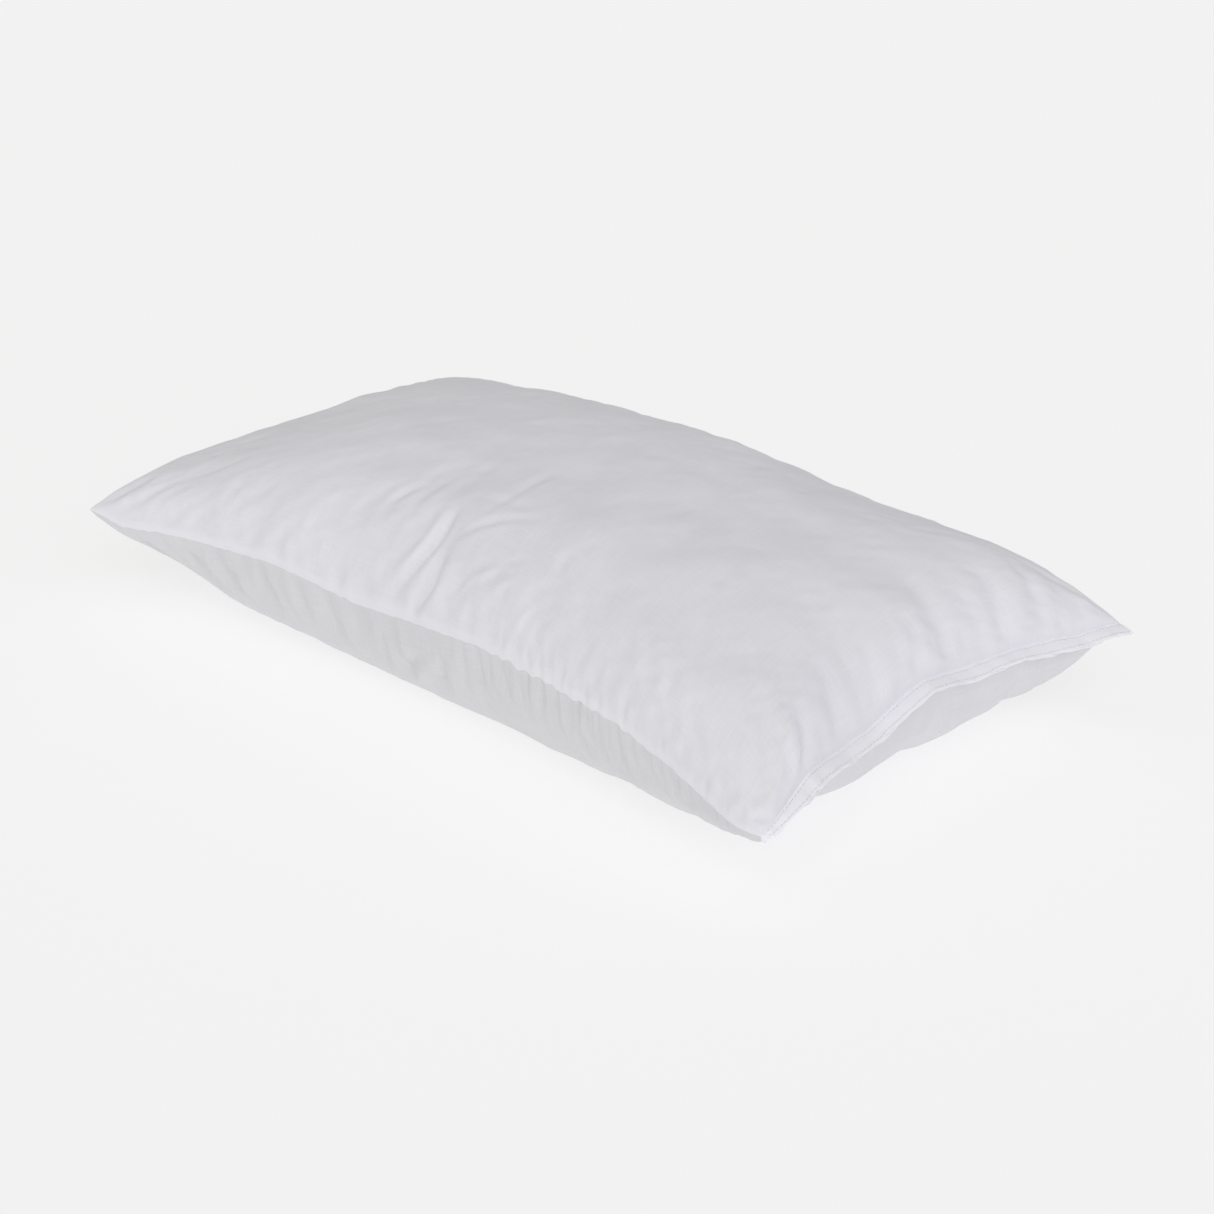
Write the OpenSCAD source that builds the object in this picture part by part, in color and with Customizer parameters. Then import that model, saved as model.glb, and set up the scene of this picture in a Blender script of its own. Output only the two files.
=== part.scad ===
// Bed pillow: a fibre-filled cotton bag of two panels, sewn inside out on three
// sides, turned, filled, and closed with a topstitched lip at its right-hand end.
// Millimetres, +X along the length, +Z up, origin under the middle of the pillow
// on the surface that it lies on. The filled pillow is modelled at rest.

/* [Pillow] */
// Length of the filled pillow, from corner to corner
pillow_l = 740; // [500:1:900]
// Width of the filled pillow, from corner to corner
pillow_w = 420; // [300:1:600]
// Height of the crown above the seam
crown_h = 94; // [60:1:130]
// Depth of the underside below the seam, before the surface flattens it
belly_h = 121; // [90:1:160]
// Height of the seam above the surface, half-way along each side
seam_z = 78; // [60:1:86]

/* [Fullness] */
// How square the plan of the crown is
square_power = 2.3; // [1.8:0.1:4]
// How steeply the cloth leaves the seam: a smaller power is steeper
steep_power = 0.43; // [0.35:0.01:0.7]
// How far the middle of each short end is drawn in
end_pinch = 30; // [5:1:50]
// How far the middle of each long side is drawn in
side_pinch = 36; // [5:1:50]
// Rounding between the flattened underside and the wall above it
rest_round = 12; // [4:1:20]

/* [Corners] */
// Droop of the right near corner below the seam height
droop_right_near = 18; // [0:1:40]
// Droop of the left near corner
droop_left_near = 2; // [0:1:40]
// Droop of the right far corner
droop_right_far = 16; // [0:1:40]
// Droop of the left far corner
droop_left_far = 32; // [0:1:40]

/* [Cloth and seams] */
// Thickness of the cotton cloth
cloth = 0.5; // [0.3:0.05:0.8]
// Ridge that the turned seam makes outside the cloth
ridge = 1; // [0.5:0.1:2]
// Seam allowance, turned inwards on the three sewn sides
allowance = 10; // [6:1:12]
// How far the hem of the closing lip reaches back inside the bag
hem_root = 2; // [1.5:0.5:4]
// Width of the closing lip
lip_w = 12; // [8:1:16]
// Distance of the outer stitch row from the edge of the lip
outer_row = 2; // [1:0.5:3]
// Distance of the inner stitch row from the root of the lip
inner_row = 2; // [1:0.5:3]
// Distance of the turned seam's stitches from the seam edge
seam_row = 3; // [2:0.5:4]
// Thickness of the sewing thread
thread_d = 0.5; // [0.3:0.05:0.8]
// Width of the overedge stitches along the raw edges
overedge_w = 4; // [2:0.5:5]

/* [Fill] */
// Gap between the cloth and the fibre
fill_gap = 0.3; // [0.1:0.1:2]
// Gap between the raw edges and the fibre
fill_edge_gap = 4; // [3:0.5:8]

/* [Care label] */
// Width of the label along the seam
label_w = 35; // [20:1:50]
// Length of the label below the seam
label_h = 50; // [30:1:55]
// Thickness of the label
label_t = 0.4; // [0.2:0.1:0.8]
// Diameter of the rolled edge that the label turns on
label_roll_d = 1.2; // [1:0.1:2]
// Distance of the label from the middle of the left-hand end
label_y = 60; // [0:1:90]
// Clearance between the label and the seam edge
label_gap = 0.7; // [0.5:0.1:2]

/* [Hidden] */

// Cells of the cloth surface along and across the pillow
cells_l = 34;
cells_w = 22;
// Play that keeps the threads off the cloth that they lie on
play = 0.3;
// Cells that the sewn threads stop short of the closing lip, and of a corner
lip_cells = 2;
// Sides of a thread's section
thread_sides = 6;

// Two layers of cloth make the edge of each panel
fold = 2 * cloth;
half_l = (pillow_l - lip_w - ridge) / 2;
half_w = pillow_w / 2 - ridge;
centre_x = (ridge - lip_w) / 2;
inner_set = cloth + fill_gap;
thread_r = thread_d / 2;

// ---- Surface of the filled bag; u and v run from -1 to 1 along and across it ----

// Position along one side for a cell number: closer together near the seams
function spread(cell, cells) = sin(90 * (2 * cell / cells - 1));

// Fullness: 0 on the seam, 1 on the crown
function ease(t) = pow(1 - pow(abs(t), square_power), steep_power);
function plump(u, v) = ease(u) * ease(v);

// Move inwards by a set distance; a negative one moves only the very edge outwards
function moved(t, set) = set < 0 && abs(t) < 1 ? 0 : t * set;

// Plan position, with the outline moved by a set distance on each axis
function plan(u, v, set_x, set_y) = [
    centre_x + u * (half_l - end_pinch * (1 - v * v)) - moved(u, set_x),
    v * (half_w - side_pinch * (1 - u * u)) - moved(v, set_y)
];

// Height of the seam surface over a plan position; it droops towards each corner
function droop(p) = p[0] > 0 ? (p[1] > 0 ? droop_right_far : droop_right_near)
    : (p[1] > 0 ? droop_left_far : droop_left_near);
function seam_at(p) = seam_z - pow(abs(4 * p[0] * p[1] / (pillow_l * pillow_w)), 4) * droop(p);

// A height pressed flat by the surface below, with a rounded start
function pressed(z) = z > rest_round ? z
    : z < -rest_round ? 0
    : pow(z + rest_round, 2) / (4 * rest_round);

// Points of the upper and the lower cloth over a plan position
function above(p, full, inset, lift) =
    concat(p, seam_at(p) + lift * (1 - full) + (crown_h - inset) * full);
function below(p, full, inset, lift) =
    concat(p, inset + pressed(seam_at(p) - lift * (1 - full) - inset - (belly_h - inset) * full));

// ---- Grids, rings round their edges, and the skin that joins them ----

function grid(place) = [
    for (i = [0:cells_l], j = [0:cells_w]) place(spread(i, cells_l), spread(j, cells_w))
];
function cell_id(i, j) = i * (cells_w + 1) + j;

// Cells round the edge of the grid, anticlockwise from above
edge_cells = concat(
    [for (i = [0:cells_l - 1]) [i, 0]],
    [for (j = [0:cells_w - 1]) [cells_l, j]],
    [for (i = [cells_l:-1:1]) [i, cells_w]],
    [for (j = [cells_w:-1:1]) [0, j]]
);
edge_ids = [for (c = edge_cells) cell_id(c[0], c[1])];
edge_n = len(edge_cells);
grid_n = (cells_l + 1) * (cells_w + 1);

// Ring round the edge, a set distance inside the seam on each side (outside if negative)
function ring(set_left, set_right, set_side, height) = [
    for (c = edge_cells)
        let (
            u = spread(c[0], cells_l),
            p = plan(u, spread(c[1], cells_w), u < 0 ? set_left : set_right, set_side)
        )
            concat(p, seam_at(p) + height)
];

function quad(a, b, c, d) = [[a, b, c], [a, c, d]];
function turned(faces) = [for (f = faces) [f[2], f[1], f[0]]];
function grid_faces(first) = [
    for (i = [0:cells_l - 1], j = [0:cells_w - 1])
        each quad(first + cell_id(i, j), first + cell_id(i, j + 1),
            first + cell_id(i + 1, j + 1), first + cell_id(i + 1, j))
];
function strip_faces(inner, outer) = [
    for (k = [0:edge_n - 1])
        let (n = (k + 1) % edge_n)
            each quad(inner[k], inner[n], outer[n], outer[k])
];

// Closed skin from a first grid, through the rings, to a last grid
module skin(first, rings, last, face_up) {
    levels = concat(
        [edge_ids],
        [for (r = [0:1:len(rings) - 1]) [for (k = [0:edge_n - 1]) grid_n + r * edge_n + k]],
        [[for (id = edge_ids) grid_n + len(rings) * edge_n + id]]
    );
    faces = concat(
        grid_faces(0),
        [for (r = [0:len(levels) - 2]) each strip_faces(levels[r], levels[r + 1])],
        turned(grid_faces(grid_n + len(rings) * edge_n))
    );
    polyhedron(
        points = concat(first, [for (r = rings) each r], last),
        faces = face_up ? faces : turned(faces),
        convexity = 6
    );
}

// Panel: the cloth, its edge band with the lip, and its allowance turned inwards
module panel(side, face) {
    outer = grid(function (u, v) face(plan(u, v, 0, 0), plump(u, v), 0, fold));
    inner = grid(function (u, v) face(plan(u, v, cloth, cloth), plump(u, v), cloth, cloth));
    rings = [
        ring(-ridge, -lip_w, -ridge, side * fold),
        ring(-ridge, -lip_w, -ridge, 0),
        ring(allowance, hem_root, allowance, 0),
        ring(allowance, hem_root, allowance, side * cloth)
    ];
    skin(outer, rings, inner, side > 0);
}

// ---- Threads ----

// Direction into the bag at an edge cell; it runs diagonally at a corner
function inward(c) = [
    c[0] == 0 ? 1 : c[0] == cells_l ? -1 : 0,
    c[1] == 0 ? 1 : c[1] == cells_w ? -1 : 0
];

// Sweeps a section of [distance into the bag, height] points along edge cells.
// Each cap is a convex outline of the section's points, in the section's order.
module sweep(cells, set_left, set_right, set_side, section, caps) {
    n = len(section);
    stations = len(cells);
    points = [
        for (c = cells, s = section)
            let (
                u = spread(c[0], cells_l),
                p = plan(u, spread(c[1], cells_w), u < 0 ? set_left : set_right, set_side),
                q = p + s[0] * inward(c)
            )
                concat(q, seam_at(q) + s[1])
    ];
    walls = [
        for (k = [0:stations - 2], s = [0:n - 1])
            let (t = (s + 1) % n)
                each quad(k * n + s, k * n + t, (k + 1) * n + t, (k + 1) * n + s)
    ];
    last = (stations - 1) * n;
    starts = [for (cap = caps) [for (k = [len(cap) - 1:-1:0]) cap[k]]];
    ends = [for (cap = caps) [for (s = cap) last + s]];
    polyhedron(points = points, faces = concat(walls, starts, ends), convexity = 4);
}

// Three sewn sides in one run: far side, left-hand end, near side
sewn_cells = concat(
    [for (i = [cells_l - lip_cells:-1:1]) [i, cells_w]],
    [for (j = [cells_w:-1:1]) [0, j]],
    [for (i = [0:cells_l - lip_cells]) [i, 0]]
);
closing_cells = [for (j = [1:cells_w - 1]) [cells_l, j]];

function thread_section(height) = [
    for (k = [0:thread_sides - 1])
        let (a = 90 - 360 * k / thread_sides)
            [thread_r * cos(a), height + thread_r * sin(a)]
];

thread_cap = [[for (k = [0:thread_sides - 1]) k]];

module seam_thread(side) {
    height = side * (cloth + play + thread_r);
    color([0.90, 0.90, 0.91])
        sweep(sewn_cells, seam_row, hem_root, seam_row, thread_section(height), thread_cap);
}

// A row on the closing lip, a set distance outside the lip's root
module closing_thread(side, from_root) {
    height = side * (fold + play + thread_r);
    color([0.93, 0.93, 0.94])
        sweep(closing_cells, 0, -from_root, 0, thread_section(height), thread_cap);
}

module overedge_thread() {
    low = cloth + play;
    high = low + thread_d;
    section = [
        [-overedge_w, low], [-overedge_w, high], [play + thread_d, high], [play + thread_d, -high],
        [-overedge_w, -high], [-overedge_w, -low], [play, -low], [play, low]
    ];
    color([0.88, 0.88, 0.89])
        sweep(sewn_cells, allowance, hem_root, allowance, section,
            [[0, 1, 2, 7], [7, 2, 3, 6], [6, 3, 4, 5]]);
}

// ---- Bag, fill and label ----

module top_panel() {
    color([0.82, 0.82, 0.85])
        panel(1, function (p, full, inset, lift) above(p, full, inset, lift));
}

module bottom_panel() {
    color([0.80, 0.80, 0.82])
        panel(-1, function (p, full, inset, lift) below(p, full, inset, lift));
}

module fibre_fill() {
    rim = allowance + fill_edge_gap - inner_set;
    // The fibre keeps to the cloth and draws in only beside the raw edges
    place = function (u, v) plan(u, v, inner_set + rim * pow(u, 8), inner_set + rim * pow(v, 8));
    color([0.96, 0.96, 0.96])
        skin(
            grid(function (u, v) above(place(u, v), plump(u, v), inner_set, cloth)),
            [],
            grid(function (u, v) below(place(u, v), plump(u, v), inner_set, cloth)),
            true
        );
}

// The label hangs from the seam edge and turns on its rolled top edge
label_v = label_y / half_w;
label_turn = atan(2 * end_pinch * label_v / half_w);
label_edge = plan(-1, label_v, -ridge, 0);
label_axis = [label_edge[0] - label_gap - label_roll_d / 2, label_y, seam_at(label_edge)];

module care_label() {
    color([0.95, 0.95, 0.94])
        translate(label_axis)
            rotate([0, 0, label_turn])
                union() {
                    rotate([90, 0, 0])
                        cylinder(d = label_roll_d, h = label_w, center = true, $fn = 32);
                    translate([-label_t / 2, -label_w / 2, -label_h])
                        cube([label_t, label_w, label_h]);
                }
}

top_panel();
bottom_panel();
fibre_fill();
seam_thread(1);  // seam_needle_thread
seam_thread(-1);  // seam_bobbin_thread
overedge_thread();
closing_thread(1, lip_w - outer_row);  // closing_outer_needle_thread
closing_thread(-1, lip_w - outer_row);  // closing_outer_bobbin_thread
closing_thread(1, inner_row);  // closing_inner_needle_thread
closing_thread(-1, inner_row);  // closing_inner_bobbin_thread
care_label();
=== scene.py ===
"""Bed pillow: a cotton bag of two panels packed with hollow fibre, dressed around the CAD frame.

The bag is sewn inside out on three sides, turned, filled, and closed at its right-hand end by a lip
with two rows of topstitching. A blank care label hangs from the left-hand seam. Lengths are metres.
"""

import logging
import math
from dataclasses import dataclass
from enum import Enum
from typing import Any, Callable

import bpy
import numpy as np
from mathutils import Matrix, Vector


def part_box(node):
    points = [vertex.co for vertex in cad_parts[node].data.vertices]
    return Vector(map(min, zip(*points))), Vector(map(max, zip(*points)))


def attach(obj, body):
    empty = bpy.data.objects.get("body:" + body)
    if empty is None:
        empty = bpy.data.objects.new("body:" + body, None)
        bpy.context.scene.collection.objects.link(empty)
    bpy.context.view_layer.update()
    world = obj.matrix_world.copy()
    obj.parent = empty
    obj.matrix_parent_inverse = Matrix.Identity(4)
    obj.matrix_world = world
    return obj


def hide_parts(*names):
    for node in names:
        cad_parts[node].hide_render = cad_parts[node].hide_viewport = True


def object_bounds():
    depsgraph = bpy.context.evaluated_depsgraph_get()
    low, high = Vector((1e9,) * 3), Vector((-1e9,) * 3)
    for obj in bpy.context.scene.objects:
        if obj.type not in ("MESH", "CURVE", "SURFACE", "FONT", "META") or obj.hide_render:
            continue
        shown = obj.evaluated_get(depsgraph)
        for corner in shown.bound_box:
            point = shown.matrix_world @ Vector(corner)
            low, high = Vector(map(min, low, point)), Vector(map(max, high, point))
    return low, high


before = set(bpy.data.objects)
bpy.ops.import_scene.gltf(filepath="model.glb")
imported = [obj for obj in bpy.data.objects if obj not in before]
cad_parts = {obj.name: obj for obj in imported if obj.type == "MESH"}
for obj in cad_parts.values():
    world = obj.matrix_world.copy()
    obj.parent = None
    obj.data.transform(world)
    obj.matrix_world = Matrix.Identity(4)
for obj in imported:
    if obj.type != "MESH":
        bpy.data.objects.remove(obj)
cad_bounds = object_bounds()

log = logging.getLogger("pillow")
MM = 0.001
Array = np.ndarray


class Side(Enum):
    """Panel that a surface belongs to."""

    TOP = 1
    UNDERSIDE = -1


class Edge(Enum):
    """Seam of the bag, named as the pillow lies."""

    NEAR = "near"
    FAR = "far"
    LEFT = "left"
    RIGHT = "right"


# ---- Small helpers ----


def smooth(low: float, high: float, x: Array) -> Array:
    """Rise smoothly from 0 at low to 1 at high.

    Args:
        low: where the rise starts.
        high: where it ends; it may be below low for a fall.
        x: values to read it at.

    Returns:
        The rise at each value.
    """
    t = np.clip((x - low) / (high - low), 0.0, 1.0)
    return t * t * (3.0 - 2.0 * t)


def soft_noise(x: Array, y: Array, wave: float, seed: int, count: int = 28) -> Array:
    """Add up random plane waves into a soft, even unevenness.

    Args:
        x: first coordinate in metres.
        y: second coordinate in metres.
        wave: typical wavelength in metres.
        seed: seed of the random directions.
        count: number of waves.

    Returns:
        Values with a standard deviation of about 1.
    """
    rng = np.random.default_rng(seed)
    total = np.zeros(np.broadcast(x, y).shape)
    for _ in range(count):
        angle, phase = rng.uniform(0.0, 2.0 * math.pi, 2)
        turns = 2.0 * math.pi / (wave * rng.uniform(0.7, 1.6))
        total += np.cos(turns * (x * math.cos(angle) + y * math.sin(angle)) + phase)
    return total / math.sqrt(count / 2.0)


def unit(vectors: Array) -> Array:
    """Scale vectors in the last axis to length 1."""
    return vectors / np.maximum(np.linalg.norm(vectors, axis=-1, keepdims=True), 1e-12)


def resample(values: Array, rows: Array, columns: Array) -> Array:
    """Read a lattice of values between its points with a smooth cubic.

    Args:
        values: lattice of values, with any further axes.
        rows: fractional positions along the first axis.
        columns: fractional positions along the second axis.

    Returns:
        The values at every pair of a row and a column.
    """
    for axis, places in ((0, rows), (1, columns)):
        last = values.shape[axis] - 1
        base = np.clip(np.floor(places).astype(int), 0, last - 1)
        t = places - base
        weights = (
            -0.5 * t + t**2 - 0.5 * t**3,
            1.0 - 2.5 * t**2 + 1.5 * t**3,
            0.5 * t + 2.0 * t**2 - 1.5 * t**3,
            -0.5 * t**2 + 0.5 * t**3,
        )
        shape = [1] * values.ndim
        shape[axis] = -1
        values = sum(
            w.reshape(shape) * np.take(values, np.clip(base + k - 1, 0, last), axis=axis)
            for k, w in enumerate(weights)
        )
    return values


def regrid(values: Array, columns: int, rows: int) -> Array:
    """Read a whole lattice of values with other numbers of columns and rows.

    Args:
        values: lattice of values, with any further axes.
        columns: spaces along the first axis.
        rows: spaces along the second axis.

    Returns:
        The values on the new lattice.
    """
    return resample(values, np.linspace(0.0, values.shape[0] - 1.0, columns + 1),
                    np.linspace(0.0, values.shape[1] - 1.0, rows + 1))


def rounded_line(line: Array, cuts: int = 3) -> Array:
    """Cut the corners of an open line, so that it bends smoothly.

    Args:
        line: points of the line.
        cuts: how many times its corners are cut.

    Returns:
        Points of the smoother line, with the same ends.
    """
    for _ in range(cuts):
        pairs = np.stack([0.75 * line[:-1] + 0.25 * line[1:], 0.25 * line[:-1] + 0.75 * line[1:]], axis=1)
        line = np.vstack([line[:1], pairs.reshape(-1, 2), line[-1:]])
    return line


def arc_lengths(line: Array) -> Array:
    """Return the length along a line of points, from its start to each point."""
    return np.concatenate([[0.0], np.cumsum(np.linalg.norm(np.diff(line, axis=0), axis=1))])


def select_only(piece: bpy.types.Object) -> None:
    """Leave one object selected and active.

    Args:
        piece: the object.
    """
    bpy.ops.object.select_all(action="DESELECT")
    piece.select_set(True)
    bpy.context.view_layer.objects.active = piece


def apply_all(piece: bpy.types.Object) -> None:
    """Apply every modifier of a piece in its order.

    Args:
        piece: the piece.
    """
    select_only(piece)
    for modifier in list(piece.modifiers):
        bpy.ops.object.modifier_apply(modifier=modifier.name)


def edit_all(piece: bpy.types.Object, *steps: Callable[[], Any]) -> None:
    """Run edit-mode operators on the whole of a piece.

    Args:
        piece: the piece.
        *steps: the operators, in their order.
    """
    select_only(piece)
    bpy.ops.object.mode_set(mode="EDIT")
    bpy.ops.mesh.select_all(action="SELECT")
    for step in steps:
        step()
    bpy.ops.object.mode_set(mode="OBJECT")


def outwards() -> None:
    """Turn the selected faces outwards."""
    bpy.ops.mesh.normals_make_consistent(inside=False)


def paint(piece: bpy.types.Object, material: bpy.types.Material) -> None:
    """Give a piece one material."""
    piece.data.materials.clear()
    piece.data.materials.append(material)


def add_mesh(name: str, places: Array, faces: list) -> bpy.types.Object:
    """Add an object from points and faces.

    Args:
        name: name of the object.
        places: its points.
        faces: the point numbers of each face.

    Returns:
        The new object.
    """
    mesh = bpy.data.meshes.new(name)
    mesh.from_pydata(places.tolist(), [], faces)
    mesh.update()
    return add_object(name, mesh)


def add_object(name: str, data: Any) -> bpy.types.Object:
    """Add an object to the scene.

    Args:
        name: name of the object.
        data: its mesh, lamp or camera.

    Returns:
        The new object.
    """
    item = bpy.data.objects.new(name, data)
    bpy.context.scene.collection.objects.link(item)
    return item


def add_grid(name: str, columns: int, rows: int) -> bpy.types.Object:
    """Add a flat square grid, from -1 to 1 both ways.

    Args:
        name: name of the piece.
        columns: spaces along it.
        rows: spaces across it.

    Returns:
        The new piece.
    """
    bpy.ops.object.select_all(action="DESELECT")
    bpy.ops.mesh.primitive_grid_add(x_subdivisions=columns, y_subdivisions=rows, size=2.0)
    piece = bpy.context.object
    piece.name = name
    return piece


def vertex_places(piece: bpy.types.Object) -> Array:
    """Read the places of a mesh's vertices.

    Args:
        piece: the piece.

    Returns:
        A row of x, y and z for each vertex.
    """
    places = np.empty(len(piece.data.vertices) * 3)
    piece.data.vertices.foreach_get("co", places)
    return places.reshape(-1, 3)


def move_vertices(piece: bpy.types.Object, places: Array) -> None:
    """Put a mesh's vertices at new places."""
    piece.data.vertices.foreach_set("co", np.ascontiguousarray(places, dtype=np.float64).ravel())
    piece.data.update()


def grid_cells(piece: bpy.types.Object, columns: int, rows: int) -> tuple[Array, Array]:
    """Find where each vertex of a new grid stands in it.

    Args:
        piece: the grid, as add_grid left it.
        columns: spaces along it.
        rows: spaces across it.

    Returns:
        The column and the row of each vertex.
    """
    flat = vertex_places(piece)
    column = np.rint((flat[:, 0] + 1.0) * columns / 2.0).astype(int)
    row = np.rint((flat[:, 1] + 1.0) * rows / 2.0).astype(int)
    return column, row


# ---- Shape of the filled bag ----


@dataclass(frozen=True)
class BagShape:
    """Surface of the filled bag by formula; u and v run from -1 to 1 along and across it.

    The sizes are the ones that the CAD panels were built from, so the cloth lies where they do.
    """

    length: float
    width: float
    crown_top: float
    lip: float = 12 * MM
    ridge: float = 1 * MM
    end_pinch: float = 30 * MM
    side_pinch: float = 36 * MM
    seam_z: float = 78 * MM
    belly: float = 121 * MM
    rest_round: float = 12 * MM
    blunt_corner: float = 9 * MM
    # Height of the gathers' ripple on the near seam, in millimetres, as the drifts below
    ripple: float = 0.7
    # How fast the drifts and the ripple fade away from their seams
    drift_fade: int = 7
    ripple_fade: int = 40
    square_power: float = 2.3
    steep_power: float = 0.43
    # Droop of the corners: right near, left near, right far, left far
    droops: tuple[float, float, float, float] = (18 * MM, 2 * MM, 16 * MM, 32 * MM)
    # How the near and the right seams wander: place along the seam, height in millimetres
    near_drift: tuple[tuple[float, float], ...] = (
        (-1.0, 0.0), (-0.9, -8.0), (-0.74, -2.0), (-0.44, 2.5), (-0.18, -4.5), (0.04, 1.0),
        (0.2, 5.5), (0.31, 4.0), (0.45, 3.0), (0.6, 2.0), (0.74, -3.0), (0.86, -8.0), (0.94, -12.0),
        (1.0, -9.0),
    )
    right_drift: tuple[tuple[float, float], ...] = (
        (-1.0, -11.0), (-0.92, -9.5), (-0.8, -8.0), (-0.67, -3.0), (-0.5, -7.0), (-0.3, -7.5), (-0.1, 2.0),
        (0.0, 5.5), (0.23, -1.0), (0.5, -2.5), (0.8, -5.0), (1.0, 4.0),
    )

    @property
    def half_length(self) -> float:
        """Half the length between the seam edges, without the lip."""
        return (self.length - self.lip - self.ridge) / 2.0

    @property
    def half_width(self) -> float:
        """Half the width between the seam edges."""
        return self.width / 2.0 - self.ridge

    @property
    def centre_x(self) -> float:
        """Middle of the bag without its lip."""
        return (self.ridge - self.lip) / 2.0

    def plan(self, u: Array, v: Array) -> tuple[Array, Array]:
        """Place points of the bag in plan.

        Args:
            u: places along the pillow.
            v: places across it.

        Returns:
            Their x and their y.
        """
        x = self.centre_x + u * (self.half_length - self.end_pinch * (1.0 - v * v))
        y = v * (self.half_width - self.side_pinch * (1.0 - u * u))
        # The near right corner isn't pushed out to its point
        near, right = np.clip((-0.88 - v) / 0.12, 0.0, 1.0), np.clip((u - 0.9) / 0.1, 0.0, 1.0)
        blunt = self.blunt_corner * near**2 * right**2
        return x - 0.7 * blunt, y + blunt

    def plump(self, u: Array, v: Array) -> Array:
        """Return the fullness: 0 on the seam and 1 on the crown."""
        full = np.clip(1.0 - np.abs(u) ** self.square_power, 0.0, 1.0)
        return (full * np.clip(1.0 - np.abs(v) ** self.square_power, 0.0, 1.0)) ** self.steep_power

    def drift(self, u: Array, v: Array) -> Array:
        """Work out how far the seam surface wanders up or down.

        Args:
            u: places along the pillow.
            v: places across it.

        Returns:
            The rise at each place in metres, which fades away from the seams.
        """
        near_u, near_h = np.array(self.near_drift).T
        right_v, right_h = np.array(self.right_drift).T
        near = np.interp(u, near_u, near_h) * np.clip(-v, 0.0, 1.0) ** self.drift_fade
        # The gathers make the seam itself ripple
        ripple = soft_noise(u * self.half_length, np.zeros_like(u), 10 * MM, 91)
        on_seam = np.clip(-v, 0.0, 1.0) ** self.ripple_fade
        near = near + self.ripple * ripple * on_seam * (0.4 + 0.6 * smooth(0.0, 0.3, u))
        to_right = np.clip(u, 0.0, 1.0) ** self.drift_fade
        right = np.interp(v, right_v, right_h) * to_right
        return (near * (1.0 - to_right) + right) * MM

    def seam_height(self, u: Array, v: Array) -> Array:
        """Work out the height of the surface that the seams lie in, which droops towards each corner.

        Args:
            u: places along the pillow.
            v: places across it.

        Returns:
            The height at each place.
        """
        x, y = self.plan(u, v)
        right_near, left_near, right_far, left_far = self.droops
        droop = np.where(
            x > 0.0, np.where(y > 0.0, right_far, right_near), np.where(y > 0.0, left_far, left_near)
        )
        corner = np.abs(4.0 * x * y / (self.length * self.width)) ** 4
        return self.seam_z - corner * droop + self.drift(u, v)

    def pressed(self, z: Array) -> Array:
        """Press heights flat against the surface below, with a rounded start."""
        rounded = (z + self.rest_round) ** 2 / (4.0 * self.rest_round)
        return np.where(z > self.rest_round, z, np.where(z < -self.rest_round, 0.0, rounded))

    def surface(self, u: Array, v: Array, side: Side) -> Array:
        """Return the points of one panel.

        Args:
            u: places along the pillow.
            v: places across it.
            side: the panel.

        Returns:
            Points, with x, y and z in the last axis.
        """
        x, y = self.plan(u, v)
        middle, full = self.seam_height(u, v), self.plump(u, v)
        if side is Side.TOP:
            z = middle + (self.crown_top - self.seam_z) * full
        else:
            z = self.pressed(middle - self.belly * full)
        return np.stack(np.broadcast_arrays(x, y, z), axis=-1)


def closer_to_ends(count: int, evenness: float) -> Array:
    """Space places from -1 to 1, closer together towards both ends.

    Args:
        count: number of spaces.
        evenness: small for an even run with close ends, large for a gradual closing.

    Returns:
        The count + 1 places.
    """
    a = np.linspace(-1.0, 1.0, count + 1)
    t = 1.0 - np.abs(a)
    inward = (1.0 + evenness) * t * t / (t + evenness)
    return np.sign(a) * (1.0 - inward)


class Lattice:
    """Rows and columns of points over one face of the bag, with its flat-cut coordinates."""

    def __init__(self, shape: BagShape, columns: int, rows: int) -> None:
        """Lay the lattice out.

        Args:
            shape: the bag.
            columns: spaces along the pillow.
            rows: spaces across it.
        """
        self.shape, self.columns, self.rows = shape, columns, rows
        self.u_line = closer_to_ends(columns, 0.2)
        self.v_line = closer_to_ends(rows, 0.8)
        self.u, self.v = np.meshgrid(self.u_line, self.v_line, indexing="ij")

    def points(self, side: Side) -> Array:
        """Return the bag's points on one face."""
        return self.shape.surface(self.u, self.v, side)

    def arcs(self, side: Side) -> tuple[Array, Array]:
        """Measure the cloth along the middle row and the middle column.

        Args:
            side: the panel.

        Returns:
            The flat-cut coordinate of each column and of each row, from the centre.
        """
        grid = self.points(side)
        along, across = arc_lengths(grid[:, self.rows // 2]), arc_lengths(grid[self.columns // 2])
        return along - along[self.columns // 2], across - across[self.rows // 2]


def outward_normals(grid: Array, side: Side) -> Array:
    """Return the outward unit normals of a lattice of points on one face."""
    along, across = np.gradient(grid, axis=0), np.gradient(grid, axis=1)
    return unit(np.cross(along, across)) * side.value


# ---- Folds, puckers and unevenness ----


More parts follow.
